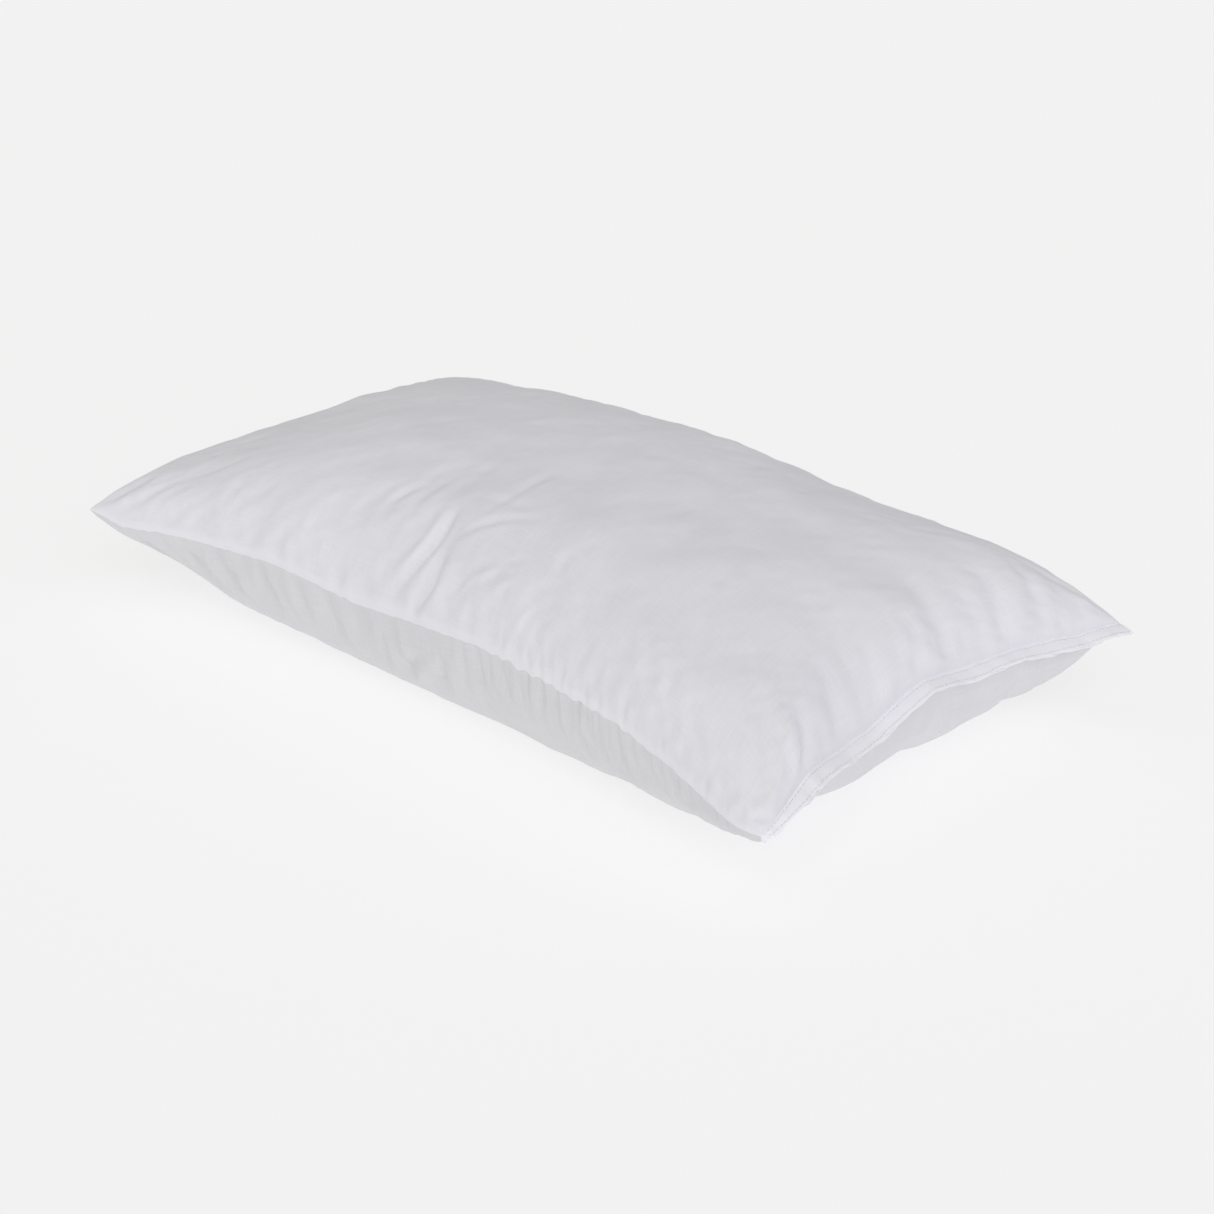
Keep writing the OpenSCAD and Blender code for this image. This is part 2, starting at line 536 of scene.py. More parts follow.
@dataclass(frozen=True)
class Fold:
    """Single crease in the cloth, through places (u, v) on one panel."""

    side: Side
    places: tuple[tuple[float, float], ...]
    depth: float
    width: float
    # Height of the roll of cloth beside the crease, as a share of its depth: left, right
    rolls: tuple[float, float] = (0.3, 0.3)

    def heights(self, flat_x: Array, flat_y: Array, to_flat: Callable[[Array], Array]) -> Array:
        """Return how far the crease moves each point along its normal.

        Args:
            flat_x: flat-cut coordinates along the pillow.
            flat_y: flat-cut coordinates across it.
            to_flat: turns (u, v) places into flat-cut coordinates.

        Returns:
            Heights in metres, negative in the crease.
        """
        line = rounded_line(to_flat(np.array(self.places)))
        steps = np.linalg.norm(np.diff(line, axis=0), axis=1)
        total, start = steps.sum(), 0.0
        nearest = np.full(flat_x.shape, np.inf)
        offset, share = np.zeros(flat_x.shape), np.zeros(flat_x.shape)
        for (ax, ay), (bx, by), step in zip(line[:-1], line[1:], steps):
            t = ((flat_x - ax) * (bx - ax) + (flat_y - ay) * (by - ay)) / step**2
            t = np.clip(t, 0.0, 1.0)
            dx, dy = flat_x - ax - t * (bx - ax), flat_y - ay - t * (by - ay)
            away = np.hypot(dx, dy)
            closer = away < nearest
            turn = np.sign(dx * (by - ay) - dy * (bx - ax))
            nearest = np.where(closer, away, nearest)
            offset = np.where(closer, away * turn, offset)
            share = np.where(closer, (start + t * step) / total, share)
            start += step
        taper = np.abs(np.sin(math.pi * share)) ** 0.6
        across = offset / self.width
        crease = -np.exp(-(across**2))
        crease += self.rolls[0] * np.exp(-(((across + 2.0) / 1.3) ** 2))
        crease += self.rolls[1] * np.exp(-(((across - 2.0) / 1.3) ** 2))
        return self.depth * taper * crease


@dataclass(frozen=True)
class Swell:
    """Broad rise or hollow in one panel, round a place (u, v)."""

    side: Side
    place: tuple[float, float]
    height: float
    # Reach along and across the pillow
    reach: tuple[float, float]

    def heights(self, flat_x: Array, flat_y: Array, to_flat: Callable[[Array], Array]) -> Array:
        """Return how far the swell moves each point along its normal.

        Args:
            flat_x: flat-cut coordinates along the pillow.
            flat_y: flat-cut coordinates across it.
            to_flat: turns (u, v) places into flat-cut coordinates.

        Returns:
            Heights in metres, negative in a hollow.
        """
        centre = to_flat(np.array([self.place]))[0]
        across_x, across_y = (flat_x - centre[0]) / self.reach[0], (flat_y - centre[1]) / self.reach[1]
        return self.height * np.exp(-(across_x**2) - across_y**2)


@dataclass(frozen=True)
class PuckerRun:
    """Row of small gathers that stand across one seam, on one panel."""

    side: Side
    edge: Edge
    # Where the run starts and ends along the seam, as u or v
    span: tuple[float, float]
    pitch: float
    depth: float
    reach: float
    slant: float
    seed: int

    def heights(self, flat_x: Array, flat_y: Array, half: tuple[float, float],
                to_flat: Callable[[Array], Array]) -> Array:
        """Return how far the gathers move each point along its normal.

        Args:
            flat_x: flat-cut coordinates along the pillow.
            flat_y: flat-cut coordinates across it.
            half: half the flat cut's length and width.
            to_flat: turns (u, v) places into flat-cut coordinates.

        Returns:
            Heights in metres, negative in the gathers.
        """
        if self.edge in (Edge.NEAR, Edge.FAR):
            along, away = flat_x, half[1] - flat_y * (1 if self.edge is Edge.FAR else -1)
            first, last = to_flat(np.array([[self.span[0], 0.0], [self.span[1], 0.0]]))[:, 0]
        else:
            along, away = flat_y, half[0] - flat_x * (1 if self.edge is Edge.RIGHT else -1)
            first, last = to_flat(np.array([[0.0, self.span[0]], [0.0, self.span[1]]]))[:, 1]
        rng = np.random.default_rng(self.seed)
        total = np.zeros(flat_x.shape)
        place = first
        while place < last:
            place += self.pitch * rng.uniform(0.6, 1.5)
            reach = self.reach * rng.uniform(0.5, 1.3)
            depth = self.depth * rng.uniform(0.4, 1.3)
            width = self.pitch * rng.uniform(0.26, 0.42)
            lean = self.slant + rng.normal(0.0, 0.12)
            ends = smooth(0.0, 0.15, np.array((place - first) / (last - first)))
            ends *= smooth(0.0, 0.15, np.array((last - place) / (last - first)))
            rise = smooth(0.0, 3.0 * MM, away) * (1.0 - smooth(0.25 * reach, reach, away))
            across = (along - place - lean * away) / width
            total -= depth * ends * rise * np.exp(-(across**2))
            total += 0.35 * depth * ends * rise * np.exp(-((across - 2.0) ** 2))
        return total


TOP, UNDER = Side.TOP, Side.UNDERSIDE

FOLDS: tuple[Fold, ...] = (
    # Creases that run up from the pinch in the near seam
    Fold(TOP, ((-0.02, -0.70), (-0.015, -0.79), (-0.02, -0.89), (-0.06, -0.98)), 4.8 * MM, 3.9 * MM,
         (0.1, 0.55)),
    Fold(TOP, ((0.03, -0.81), (0.07, -0.735), (0.12, -0.66), (0.19, -0.60)), 1.6 * MM, 3.0 * MM),
    Fold(TOP, ((0.022, -0.87), (0.024, -0.95), (0.012, -0.985), (-0.01, -0.998)), 4.6 * MM, 5.5 * MM,
         (0.5, 0.1)),
    Fold(UNDER, ((0.03, -0.994), (-0.005, -0.980), (-0.07, -0.940)), 4.6 * MM, 5.5 * MM, (0.3, 0.8)),
    Fold(UNDER, ((0.085, -0.994), (0.075, -0.975), (0.05, -0.940)), 3.4 * MM, 4.5 * MM, (0.5, 0.3)),
    Fold(UNDER, ((-0.11, -0.999), (-0.10, -0.985), (-0.13, -0.94)), 3.0 * MM, 5.0 * MM),
    # Narrow ridges beside the pinch: a fold of negative depth stands proud
    Fold(TOP, ((0.10, -0.985), (0.125, -0.93), (0.17, -0.87), (0.22, -0.82)), -0.9 * MM, 2.6 * MM),
    Fold(TOP, ((0.20, -0.93), (0.22, -0.89), (0.25, -0.85)), -0.7 * MM, 2.6 * MM),
    Fold(TOP, ((0.29, -0.985), (0.30, -0.95), (0.31, -0.90)), -0.8 * MM, 2.6 * MM),
    Fold(UNDER, ((0.16, -0.999), (0.185, -0.985), (0.23, -0.955)), -1.5 * MM, 2.4 * MM),
    Fold(UNDER, ((0.22, -0.999), (0.25, -0.985), (0.29, -0.955)), -1.3 * MM, 2.4 * MM),
    # Faint lines on the upper left of the crown
    Fold(TOP, ((0.056, -0.70), (0.077, -0.50), (0.073, -0.25)), 0.9 * MM, 4.0 * MM),
    Fold(TOP, ((-0.20, -0.79), (-0.18, -0.70), (-0.15, -0.60)), 1.4 * MM, 4.0 * MM),
    Fold(TOP, ((-0.12, -0.80), (-0.13, -0.68), (-0.11, -0.55)), 1.2 * MM, 4.5 * MM),
    Fold(TOP, ((0.17, -0.93), (0.20, -0.82), (0.27, -0.74)), 1.0 * MM, 3.5 * MM),
    Fold(TOP, ((-0.02, -0.62), (0.06, -0.58), (0.15, -0.57)), 0.9 * MM, 3.5 * MM),
    # Left near corner
    Fold(TOP, ((-0.985, -0.98), (-0.94, -0.94), (-0.88, -0.84)), 3.0 * MM, 7.0 * MM),
    Fold(TOP, ((-0.93, -0.99), (-0.86, -0.95), (-0.80, -0.86)), 1.8 * MM, 5.0 * MM),
    Fold(UNDER, ((-0.76, -0.999), (-0.69, -0.99), (-0.64, -0.94)), 3.5 * MM, 5.5 * MM),
    Fold(UNDER, ((-0.53, -0.999), (-0.565, -0.99), (-0.60, -0.95)), 2.5 * MM, 5.0 * MM),
    Fold(UNDER, ((-0.49, -0.999), (-0.455, -0.99), (-0.43, -0.95)), 2.5 * MM, 5.0 * MM),
    Fold(UNDER, ((-0.90, -0.995), (-0.84, -0.98), (-0.78, -0.93)), 2.5 * MM, 6.0 * MM),
    # Right-hand end, across the closing lip's root
    Fold(TOP, ((0.999, -0.70), (0.99, -0.66), (0.93, -0.60)), 3.5 * MM, 6.0 * MM, (0.5, 0.2)),
    Fold(TOP, ((0.999, -0.49), (0.975, -0.46), (0.90, -0.40)), 3.0 * MM, 7.0 * MM),
    Fold(TOP, ((0.999, -0.04), (0.975, 0.01), (0.92, 0.03)), 3.0 * MM, 6.0 * MM, (0.5, 0.2)),
    Fold(TOP, ((0.995, 0.13), (0.94, 0.175), (0.85, 0.21)), 3.0 * MM, 8.0 * MM),
    Fold(TOP, ((0.998, 0.44), (0.955, 0.48), (0.87, 0.53)), 2.6 * MM, 7.0 * MM),
    Fold(TOP, ((0.999, 0.61), (0.95, 0.67), (0.86, 0.74)), 2.4 * MM, 7.0 * MM),
    Fold(UNDER, ((0.999, -0.62), (0.97, -0.52), (0.92, -0.40)), 3.0 * MM, 8.0 * MM),
    Fold(UNDER, ((0.999, 0.10), (0.97, 0.08), (0.92, 0.02)), 2.6 * MM, 7.0 * MM),
    Fold(UNDER, ((0.999, 0.52), (0.96, 0.55), (0.90, 0.58)), 2.6 * MM, 8.0 * MM),
    # Near right corner
    Fold(TOP, ((0.96, -0.985), (0.985, -0.96), (0.998, -0.90)), 2.5 * MM, 4.0 * MM),
    # Far side and left-hand end
    Fold(TOP, ((-0.60, 0.99), (-0.55, 0.93), (-0.52, 0.82)), 3.0 * MM, 7.0 * MM),
    Fold(TOP, ((0.22, 0.998), (0.25, 0.95), (0.21, 0.84)), 3.5 * MM, 7.0 * MM),
    Fold(TOP, ((0.70, 0.99), (0.66, 0.94), (0.60, 0.86)), 2.5 * MM, 6.0 * MM),
    Fold(TOP, ((-0.998, -0.35), (-0.96, -0.32), (-0.90, -0.25)), 3.0 * MM, 7.0 * MM),
    Fold(TOP, ((-0.999, 0.20), (-0.97, 0.16), (-0.91, 0.15)), 2.6 * MM, 6.0 * MM),
    Fold(TOP, ((-0.998, 0.66), (-0.95, 0.60), (-0.88, 0.52)), 3.0 * MM, 7.0 * MM),
)

SWELLS: tuple[Swell, ...] = (
    Swell(TOP, (0.0, 0.35), 1.8 * MM, (300 * MM, 160 * MM)),
    Swell(TOP, (0.05, 0.60), 5.0 * MM, (70 * MM, 70 * MM)),
    Swell(TOP, (0.85, 0.85), 3.5 * MM, (70 * MM, 60 * MM)),
    Swell(TOP, (-0.92, -0.90), 5.0 * MM, (45 * MM, 40 * MM)),
    Swell(TOP, (0.42, 0.75), -4.0 * MM, (60 * MM, 60 * MM)),
    Swell(TOP, (-0.35, 0.75), -1.5 * MM, (80 * MM, 60 * MM)),
    Swell(TOP, (-0.02, -0.90), -3.0 * MM, (26 * MM, 40 * MM)),
    Swell(UNDER, (-0.84, -0.92), -9.0 * MM, (50 * MM, 45 * MM)),
    Swell(UNDER, (-0.50, -0.90), 3.0 * MM, (70 * MM, 40 * MM)),
    Swell(UNDER, (0.035, -0.955), -7.5 * MM, (13 * MM, 17 * MM)),
    Swell(UNDER, (0.94, -0.97), -5.0 * MM, (26 * MM, 26 * MM)),
    Swell(UNDER, (0.96, -0.65), -17.0 * MM, (34 * MM, 46 * MM)),
    Swell(UNDER, (0.95, 0.62), 5.0 * MM, (40 * MM, 55 * MM)),
    Swell(UNDER, (0.95, 0.10), 8.0 * MM, (40 * MM, 110 * MM)),
)

PUCKERS: tuple[PuckerRun, ...] = (
    PuckerRun(UNDER, Edge.NEAR, (0.04, 0.97), 10.5 * MM, 3.6 * MM, 56 * MM, 0.16, 11),
    PuckerRun(UNDER, Edge.NEAR, (0.18, 0.985), 4.8 * MM, 3.3 * MM, 24 * MM, 0.12, 12),
    PuckerRun(UNDER, Edge.NEAR, (-0.95, 0.05), 21.0 * MM, 4.2 * MM, 60 * MM, 0.3, 13),
    PuckerRun(TOP, Edge.NEAR, (0.22, 0.97), 7.0 * MM, 2.7 * MM, 22 * MM, -0.1, 14),
    PuckerRun(TOP, Edge.NEAR, (-0.90, 0.30), 24.0 * MM, 1.6 * MM, 55 * MM, 0.15, 15),
    PuckerRun(TOP, Edge.RIGHT, (-0.90, 0.92), 17.0 * MM, 1.8 * MM, 60 * MM, 0.15, 16),
    PuckerRun(UNDER, Edge.RIGHT, (-0.90, 0.92), 14.0 * MM, 1.8 * MM, 45 * MM, 0.0, 17),
    PuckerRun(TOP, Edge.FAR, (-0.93, 0.93), 13.0 * MM, 1.8 * MM, 50 * MM, 0.1, 18),
    PuckerRun(UNDER, Edge.FAR, (-0.93, 0.93), 12.0 * MM, 2.4 * MM, 50 * MM, 0.0, 19),
    PuckerRun(TOP, Edge.LEFT, (-0.90, 0.90), 15.0 * MM, 2.0 * MM, 60 * MM, 0.0, 20),
    PuckerRun(UNDER, Edge.LEFT, (-0.90, 0.90), 13.0 * MM, 2.2 * MM, 45 * MM, 0.0, 21),
)


# ---- Finishes ----


def linear(hex_colour: str) -> tuple[float, float, float, float]:
    """Turn an sRGB hex colour into linear light.

    Args:
        hex_colour: the colour, such as #F0F0F0.

    Returns:
        Its linear red, green and blue, and an alpha of 1.
    """
    parts = (int(hex_colour[k:k + 2], 16) / 255.0 for k in (1, 3, 5))
    values = [c / 12.92 if c <= 0.04045 else ((c + 0.055) / 1.055) ** 2.4 for c in parts]
    return values[0], values[1], values[2], 1.0


class ShaderSheet:
    """Node tree of one material, with its shader and output in place."""

    def __init__(self, name: str, shader: str = "ShaderNodeBsdfPrincipled", **sockets: Any) -> None:
        """Start a material.

        Args:
            name: name of the material.
            shader: kind of its shader node.
            **sockets: constants on the shader's own sockets; underscores stand for spaces.
        """
        self.material = bpy.data.materials.new(name)
        self.material.use_nodes = True
        self.material.node_tree.nodes.clear()
        named = {key.replace("_", " "): value for key, value in sockets.items()}
        self.shader = self.add(shader, named)
        self.add("ShaderNodeOutputMaterial", {"Surface": self.shader.outputs[0]})

    def add(self, kind: str, inputs: dict[Any, Any], **settings: Any) -> bpy.types.Node:
        """Add a node.

        Args:
            kind: type of the node.
            inputs: value or linked output for each input, by name or number.
            **settings: properties of the node.

        Returns:
            The node.
        """
        tree = self.material.node_tree
        node = tree.nodes.new(kind)
        for key, value in settings.items():
            setattr(node, key, value)
        for key, value in inputs.items():
            if isinstance(value, bpy.types.NodeSocket):
                tree.links.new(value, node.inputs[key])
            else:
                node.inputs[key].default_value = value
        return node

    def link(self, output: bpy.types.NodeSocket, name: str) -> None:
        """Link an output to one of the shader's sockets."""
        self.material.node_tree.links.new(output, self.shader.inputs[name])


# Attribute of a panel that tells where it lies over doubled cloth, where its colour is painted whiter:
# partly for the doubled cloth, partly as painted highlight
LAYERS_AND_HIGHLIGHT = "cloth_layers_and_highlight"
# The wave texture repeats every 0.314 / scale
WAVE = math.pi / 10.0


@dataclass(frozen=True)
class WovenCotton:
    """Plain-woven cotton shell cloth, bleached and calendered: matt white with a faint soft sheen."""

    name: str = "plain_woven_cotton"
    light: str = "#EFEEF3"
    shade: str = "#E9E8EE"
    # Less light passes where the cloth lies over its own allowance, so it looks whiter; this whiter colour
    # is also a painted highlight for the light that the band above the seam catches
    doubled_and_highlight: str = "#F9F8FD"
    # Threads lie 0.25 mm apart; drawn at 2.2 mm, because they are too fine to show
    thread_pitch: float = 2.2 * MM
    # Thick places in the yarn, a few centimetres long
    slub_length: float = 22 * MM
    slub_width: float = 1.6 * MM
    # Crumple that is left from washing and filling
    crumple: float = 16 * MM

    def material(self) -> bpy.types.Material:
        """Make the cloth's material.

        Returns:
            The material.
        """
        sheet = ShaderSheet(
            self.name, Roughness=0.88, Specular_IOR_Level=0.28, Sheen_Weight=0.16, Sheen_Roughness=0.6,
            Sheen_Tint=linear("#F4F3FA"),
        )
        cloth = sheet.add("ShaderNodeTexCoord", {}).outputs["UV"]
        warp, weft = (
            sheet.add("ShaderNodeTexWave", {"Vector": cloth, "Scale": WAVE / self.thread_pitch,
                                            "Distortion": 0.6, "Detail": 1.0, "Detail Scale": 0.2},
                      bands_direction=way).outputs["Fac"]
            for way in ("X", "Y")
        )
        weave = sheet.add("ShaderNodeMath", {0: warp, 1: weft}, operation="MULTIPLY").outputs[0]
        slubs = []
        for size in ((self.slub_length, self.slub_width), (self.slub_width, self.slub_length)):
            scaled = sheet.add("ShaderNodeMapping", {
                "Vector": cloth, "Scale": (1.0 / size[0], 1.0 / size[1], 1.0)}).outputs[0]
            slubs.append(sheet.add("ShaderNodeTexNoise", {
                "Vector": scaled, "Scale": 1.0, "Detail": 2.0}).outputs["Fac"])
        slub = sheet.add("ShaderNodeMath", {0: slubs[0], 1: slubs[1]}, operation="ADD").outputs[0]
        crumple = sheet.add("ShaderNodeTexNoise", {
            "Vector": cloth, "Scale": 1.0 / self.crumple, "Detail": 3.0, "Roughness": 0.55}).outputs["Fac"]
        blotch = sheet.add("ShaderNodeTexNoise", {
            "Vector": cloth, "Scale": 1.0 / (90 * MM), "Detail": 3.0}).outputs["Fac"]
        tone = sheet.add("ShaderNodeMath", {0: slub, 1: blotch}, operation="ADD").outputs[0]
        tone = sheet.add("ShaderNodeMapRange", {0: tone, 1: 1.1, 2: 1.9}).outputs[0]
        cloth_tone = sheet.add("ShaderNodeMix", {0: tone, 6: linear(self.shade), 7: linear(self.light)},
                               data_type="RGBA").outputs[2]
        # Whiter over the allowance and in the lip: partly doubled cloth, partly painted highlight
        layers_and_highlight = sheet.add("ShaderNodeAttribute", {}, attribute_name=LAYERS_AND_HIGHLIGHT).outputs["Fac"]
        sheet.link(sheet.add("ShaderNodeMix", {0: layers_and_highlight, 6: cloth_tone, 7: linear(self.doubled_and_highlight)},
                             data_type="RGBA").outputs[2], "Base Color")
        sheet.link(sheet.add("ShaderNodeMapRange", {0: crumple, 1: 0.3, 2: 0.7, 3: 0.84, 4: 0.92}
                             ).outputs[0], "Roughness")
        bump = None
        for height, distance in ((crumple, 0.2 * MM), (slub, 0.035 * MM), (weave, 0.025 * MM)):
            before = {} if bump is None else {"Normal": bump}
            bump = sheet.add("ShaderNodeBump", {
                "Height": height, "Distance": distance, "Strength": 1.0, **before}).outputs[0]
        sheet.link(bump, "Normal")
        return sheet.material


@dataclass(frozen=True)
class SpunThread:
    """Spun polyester sewing thread: two twisted plies, a little glossier than the cloth."""

    name: str = "spun_sewing_thread"
    colour: str = "#F4F3F7"
    # Darker colour in the grooves between the plies: painted shade
    painted_groove_shade: str = "#D5D3DA"
    # One turn of the plies every 0.9 mm along the thread
    twist_pitch: float = 0.9 * MM

    def material(self) -> bpy.types.Material:
        """Make the thread's material.

        Returns:
            The material.
        """
        sheet = ShaderSheet(self.name, Roughness=0.62, Specular_IOR_Level=0.4, Sheen_Weight=0.12)
        place = sheet.add("ShaderNodeTexCoord", {}).outputs["Object"]
        twist = sheet.add("ShaderNodeTexWave", {"Vector": place, "Scale": WAVE / self.twist_pitch,
                                                "Distortion": 1.0}, bands_direction="DIAGONAL")
        # Painted shade in the grooves between the plies
        sheet.link(sheet.add("ShaderNodeMix", {0: twist.outputs["Fac"], 6: linear(self.painted_groove_shade),
                                               7: linear(self.colour)}, data_type="RGBA").outputs[2],
                   "Base Color")
        sheet.link(sheet.add("ShaderNodeBump", {"Height": twist.outputs["Fac"], "Distance": 0.08 * MM,
                                                "Strength": 1.0}).outputs[0], "Normal")
        return sheet.material


@dataclass(frozen=True)
class HollowFibre:
    """Hollow polyester fibre, carded and blown in: springy white tufts with a slight gleam."""

    name: str = "hollow_fibre"
    colour: str = "#F5F5F6"
    # Darker colour in the gaps between the tufts: painted shade
    gap: str = "#DDDDE1"
    tuft: float = 9 * MM
    # Single fibres are 0.03 mm thick; drawn at 0.6 mm
    fibre: float = 0.6 * MM

    def material(self) -> bpy.types.Material:
        """Make the fibre's material.

        Returns:
            The material.
        """
        sheet = ShaderSheet(self.name, Roughness=0.7, Sheen_Weight=0.3, Sheen_Roughness=0.4)
        place = sheet.add("ShaderNodeTexCoord", {}).outputs["Object"]
        tufts, fibres = (
            sheet.add("ShaderNodeTexNoise", {"Vector": place, "Scale": 1.0 / size, "Detail": 4.0,
                                             "Distortion": 1.5}).outputs["Fac"]
            for size in (self.tuft, self.fibre)
        )
        # Painted shade in the gaps between the tufts
        sheet.link(sheet.add("ShaderNodeMix", {0: tufts, 6: linear(self.gap), 7: linear(self.colour)},
                             data_type="RGBA").outputs[2], "Base Color")
        low = sheet.add("ShaderNodeBump", {"Height": tufts, "Distance": 3 * MM, "Strength": 0.8}).outputs[0]
        sheet.link(sheet.add("ShaderNodeBump", {"Height": fibres, "Distance": 0.3 * MM, "Strength": 0.8,
                                                "Normal": low}).outputs[0], "Normal")
        return sheet.material


@dataclass(frozen=True)
class LabelTape:
    """Satin-woven polyester label tape, blank: smooth, with fine cross ribs and a soft gleam."""

    name: str = "satin_label_tape"
    colour: str = "#F8F7F5"
    # Darker colour in the troughs between the ribs, which is painted shade, and in random streaks
    rib_shade_and_streak: str = "#E4E2E0"
    # Ribs lie 0.2 mm apart; drawn at 1 mm
    rib_pitch: float = 1.0 * MM

    def material(self) -> bpy.types.Material:
        """Make the tape's material.

        Returns:
            The material.
        """
        sheet = ShaderSheet(self.name, Roughness=0.42, Specular_IOR_Level=0.45, Sheen_Weight=0.1)
        place = sheet.add("ShaderNodeTexCoord", {}).outputs["Object"]
        ribs = sheet.add("ShaderNodeTexWave", {"Vector": place, "Scale": WAVE / self.rib_pitch,
                                               "Distortion": 0.3}, bands_direction="Z").outputs["Fac"]
        streak = sheet.add("ShaderNodeTexNoise", {"Vector": place, "Scale": 1.0 / (6 * MM)}).outputs["Fac"]
        # Darker between the ribs, which is painted shade, and in random streaks
        tone = sheet.add("ShaderNodeMath", {0: ribs, 1: streak}, operation="MULTIPLY").outputs[0]
        sheet.link(sheet.add("ShaderNodeMix", {0: tone, 6: linear(self.rib_shade_and_streak), 7: linear(self.colour)},
                             data_type="RGBA").outputs[2], "Base Color")
        sheet.link(sheet.add("ShaderNodeBump", {"Height": ribs, "Distance": 0.06 * MM,
                                                "Strength": 1.0}).outputs[0], "Normal")
        return sheet.material


# ---- Cover: the two cotton panels ----


@dataclass
class CoverSettling:
    """Cloth simulation that settles the gathers of the bag over its filling."""

    columns: int = 100
    rows: int = 56
    frames: int = 24
    # Cloth eased in near the seams and over the crown, as shares of its size
    seam_ease: float = 0.10
    crown_ease: float = 0.004
    ease_reach: float = 60 * MM
    most_move: float = 9 * MM
    # Rounds of averaging that leave only the broad swelling
    averaging: int = 30
    roughness: float = 0.25 * MM
    seed: int = 5

    def moves(self, shape: BagShape) -> dict[Side, Array]:
        """Simulate the bag and return how it wrinkles.

        Args:
            shape: the filled bag.

        Returns:
            Move of each point of a columns by rows lattice, for each panel.
        """
        lattice = Lattice(shape, self.columns, self.rows)
        rest = {side: lattice.points(side) for side in Side}
        bag, index = self.closed_bag(lattice, rest)
        self.dress(bag, lattice, index)
        scene = bpy.context.scene
        for number in range(1, self.frames + 1):
            scene.frame_set(number)
        apply_all(bag)
        settled = vertex_places(bag)
        moves = {side: self.wrinkles(settled[index[side]] - rest[side]) for side in Side}
        bpy.data.objects.remove(bag, do_unlink=True)
        scene.frame_set(1)
        return moves

    def closed_bag(self, lattice: Lattice, rest: dict[Side, Array]) -> tuple[bpy.types.Object, dict]:
        """Join both panels' lattices along the seams.

        Args:
            lattice: the lattice; not used.
            rest: points of each panel.

        Returns:
            The bag, and the vertex number of every lattice point of each panel.
        """
        count = (self.columns + 1) * (self.rows + 1)
        top = np.arange(count).reshape(self.columns + 1, self.rows + 1)
        under = top.copy()
        inner = under[1:-1, 1:-1]
        under[1:-1, 1:-1] = count + np.arange(inner.size).reshape(inner.shape)
        rng = np.random.default_rng(self.seed)
        places = np.vstack([rest[Side.TOP].reshape(-1, 3), rest[Side.UNDERSIDE][1:-1, 1:-1].reshape(-1, 3)])
        loose = np.ones(len(places), dtype=bool)
        loose[np.concatenate([top[0], top[-1], top[:, 0], top[:, -1]])] = False
        places[loose] += rng.normal(0.0, self.roughness, (loose.sum(), 3))
        faces = []
        for grid, turned in ((top, False), (under, True)):
            quads = np.stack([grid[:-1, :-1], grid[1:, :-1], grid[1:, 1:], grid[:-1, 1:]], axis=-1)
            quads = quads.reshape(-1, 4)
            faces.append(quads[:, ::-1] if turned else quads)
        bag = add_mesh("settling_bag", places, np.vstack(faces).tolist())
        return bag, {Side.TOP: top, Side.UNDERSIDE: under}

    def dress(self, bag: bpy.types.Object, lattice: Lattice, index: dict[Side, Array]) -> None:
        """Give the bag its cloth settings, pinned seams and ease.

        Args:
            bag: the bag.
            lattice: its lattice.
            index: the vertex number of every lattice point of each panel.
        """
        seams = bag.vertex_groups.new(name="seams")
        top = index[Side.TOP]
        ring = np.unique(np.concatenate([top[0], top[-1], top[:, 0], top[:, -1]]))
        seams.add(ring.tolist(), 1.0, "REPLACE")
        ease = bag.vertex_groups.new(name="ease")
        for side in Side:
            along, across = lattice.arcs(side)
            to_end = np.minimum(along - along[0], along[-1] - along)[:, None]
            to_side = np.minimum(across - across[0], across[-1] - across)[None, :]
            weight = 1.0 - smooth(0.0, self.ease_reach, np.minimum(to_end, to_side))
            for number, value in zip(index[side].ravel().tolist(), weight.ravel().tolist()):
                if value > 0.0:
                    ease.add([number], value, "REPLACE")
        cloth = bag.modifiers.new("settling", "CLOTH")
        settings = cloth.settings
        settings.quality = 6
        settings.mass = 0.3
        settings.air_damping = 3.0
        settings.tension_stiffness = 40.0
        settings.compression_stiffness = 30.0
        settings.shear_stiffness = 8.0
        settings.bending_stiffness = 0.05
        settings.vertex_group_mass = "seams"
        settings.vertex_group_shrink = "ease"
        settings.shrink_min = -self.crown_ease
        settings.shrink_max = -self.seam_ease
        settings.use_pressure = True
        settings.uniform_pressure_force = 2.0
        settings.effector_weights.gravity = 0.0
        cloth.collision_settings.use_self_collision = False
        cloth.collision_settings.use_collision = False
        cloth.point_cache.frame_start = 1
        cloth.point_cache.frame_end = self.frames

    def wrinkles(self, moves: Array) -> Array:
        """Keep the wrinkles of a simulated move and drop its broad swelling.

        Args:
            moves: moves of one panel's lattice.

        Returns:
            The moves, capped, without their broad part.
        """
        broad = moves.copy()
        for _ in range(self.averaging):
            padded = np.pad(broad, ((1, 1), (1, 1), (0, 0)), mode="edge")
            broad = (padded[:-2, 1:-1] + padded[2:, 1:-1] + padded[1:-1, :-2] + padded[1:-1, 2:]) / 4.0
        fine = moves - broad
        fine[0], fine[-1], fine[:, 0], fine[:, -1] = 0.0, 0.0, 0.0, 0.0
        size = np.linalg.norm(fine, axis=-1, keepdims=True)
        return fine * self.most_move / (self.most_move + size)


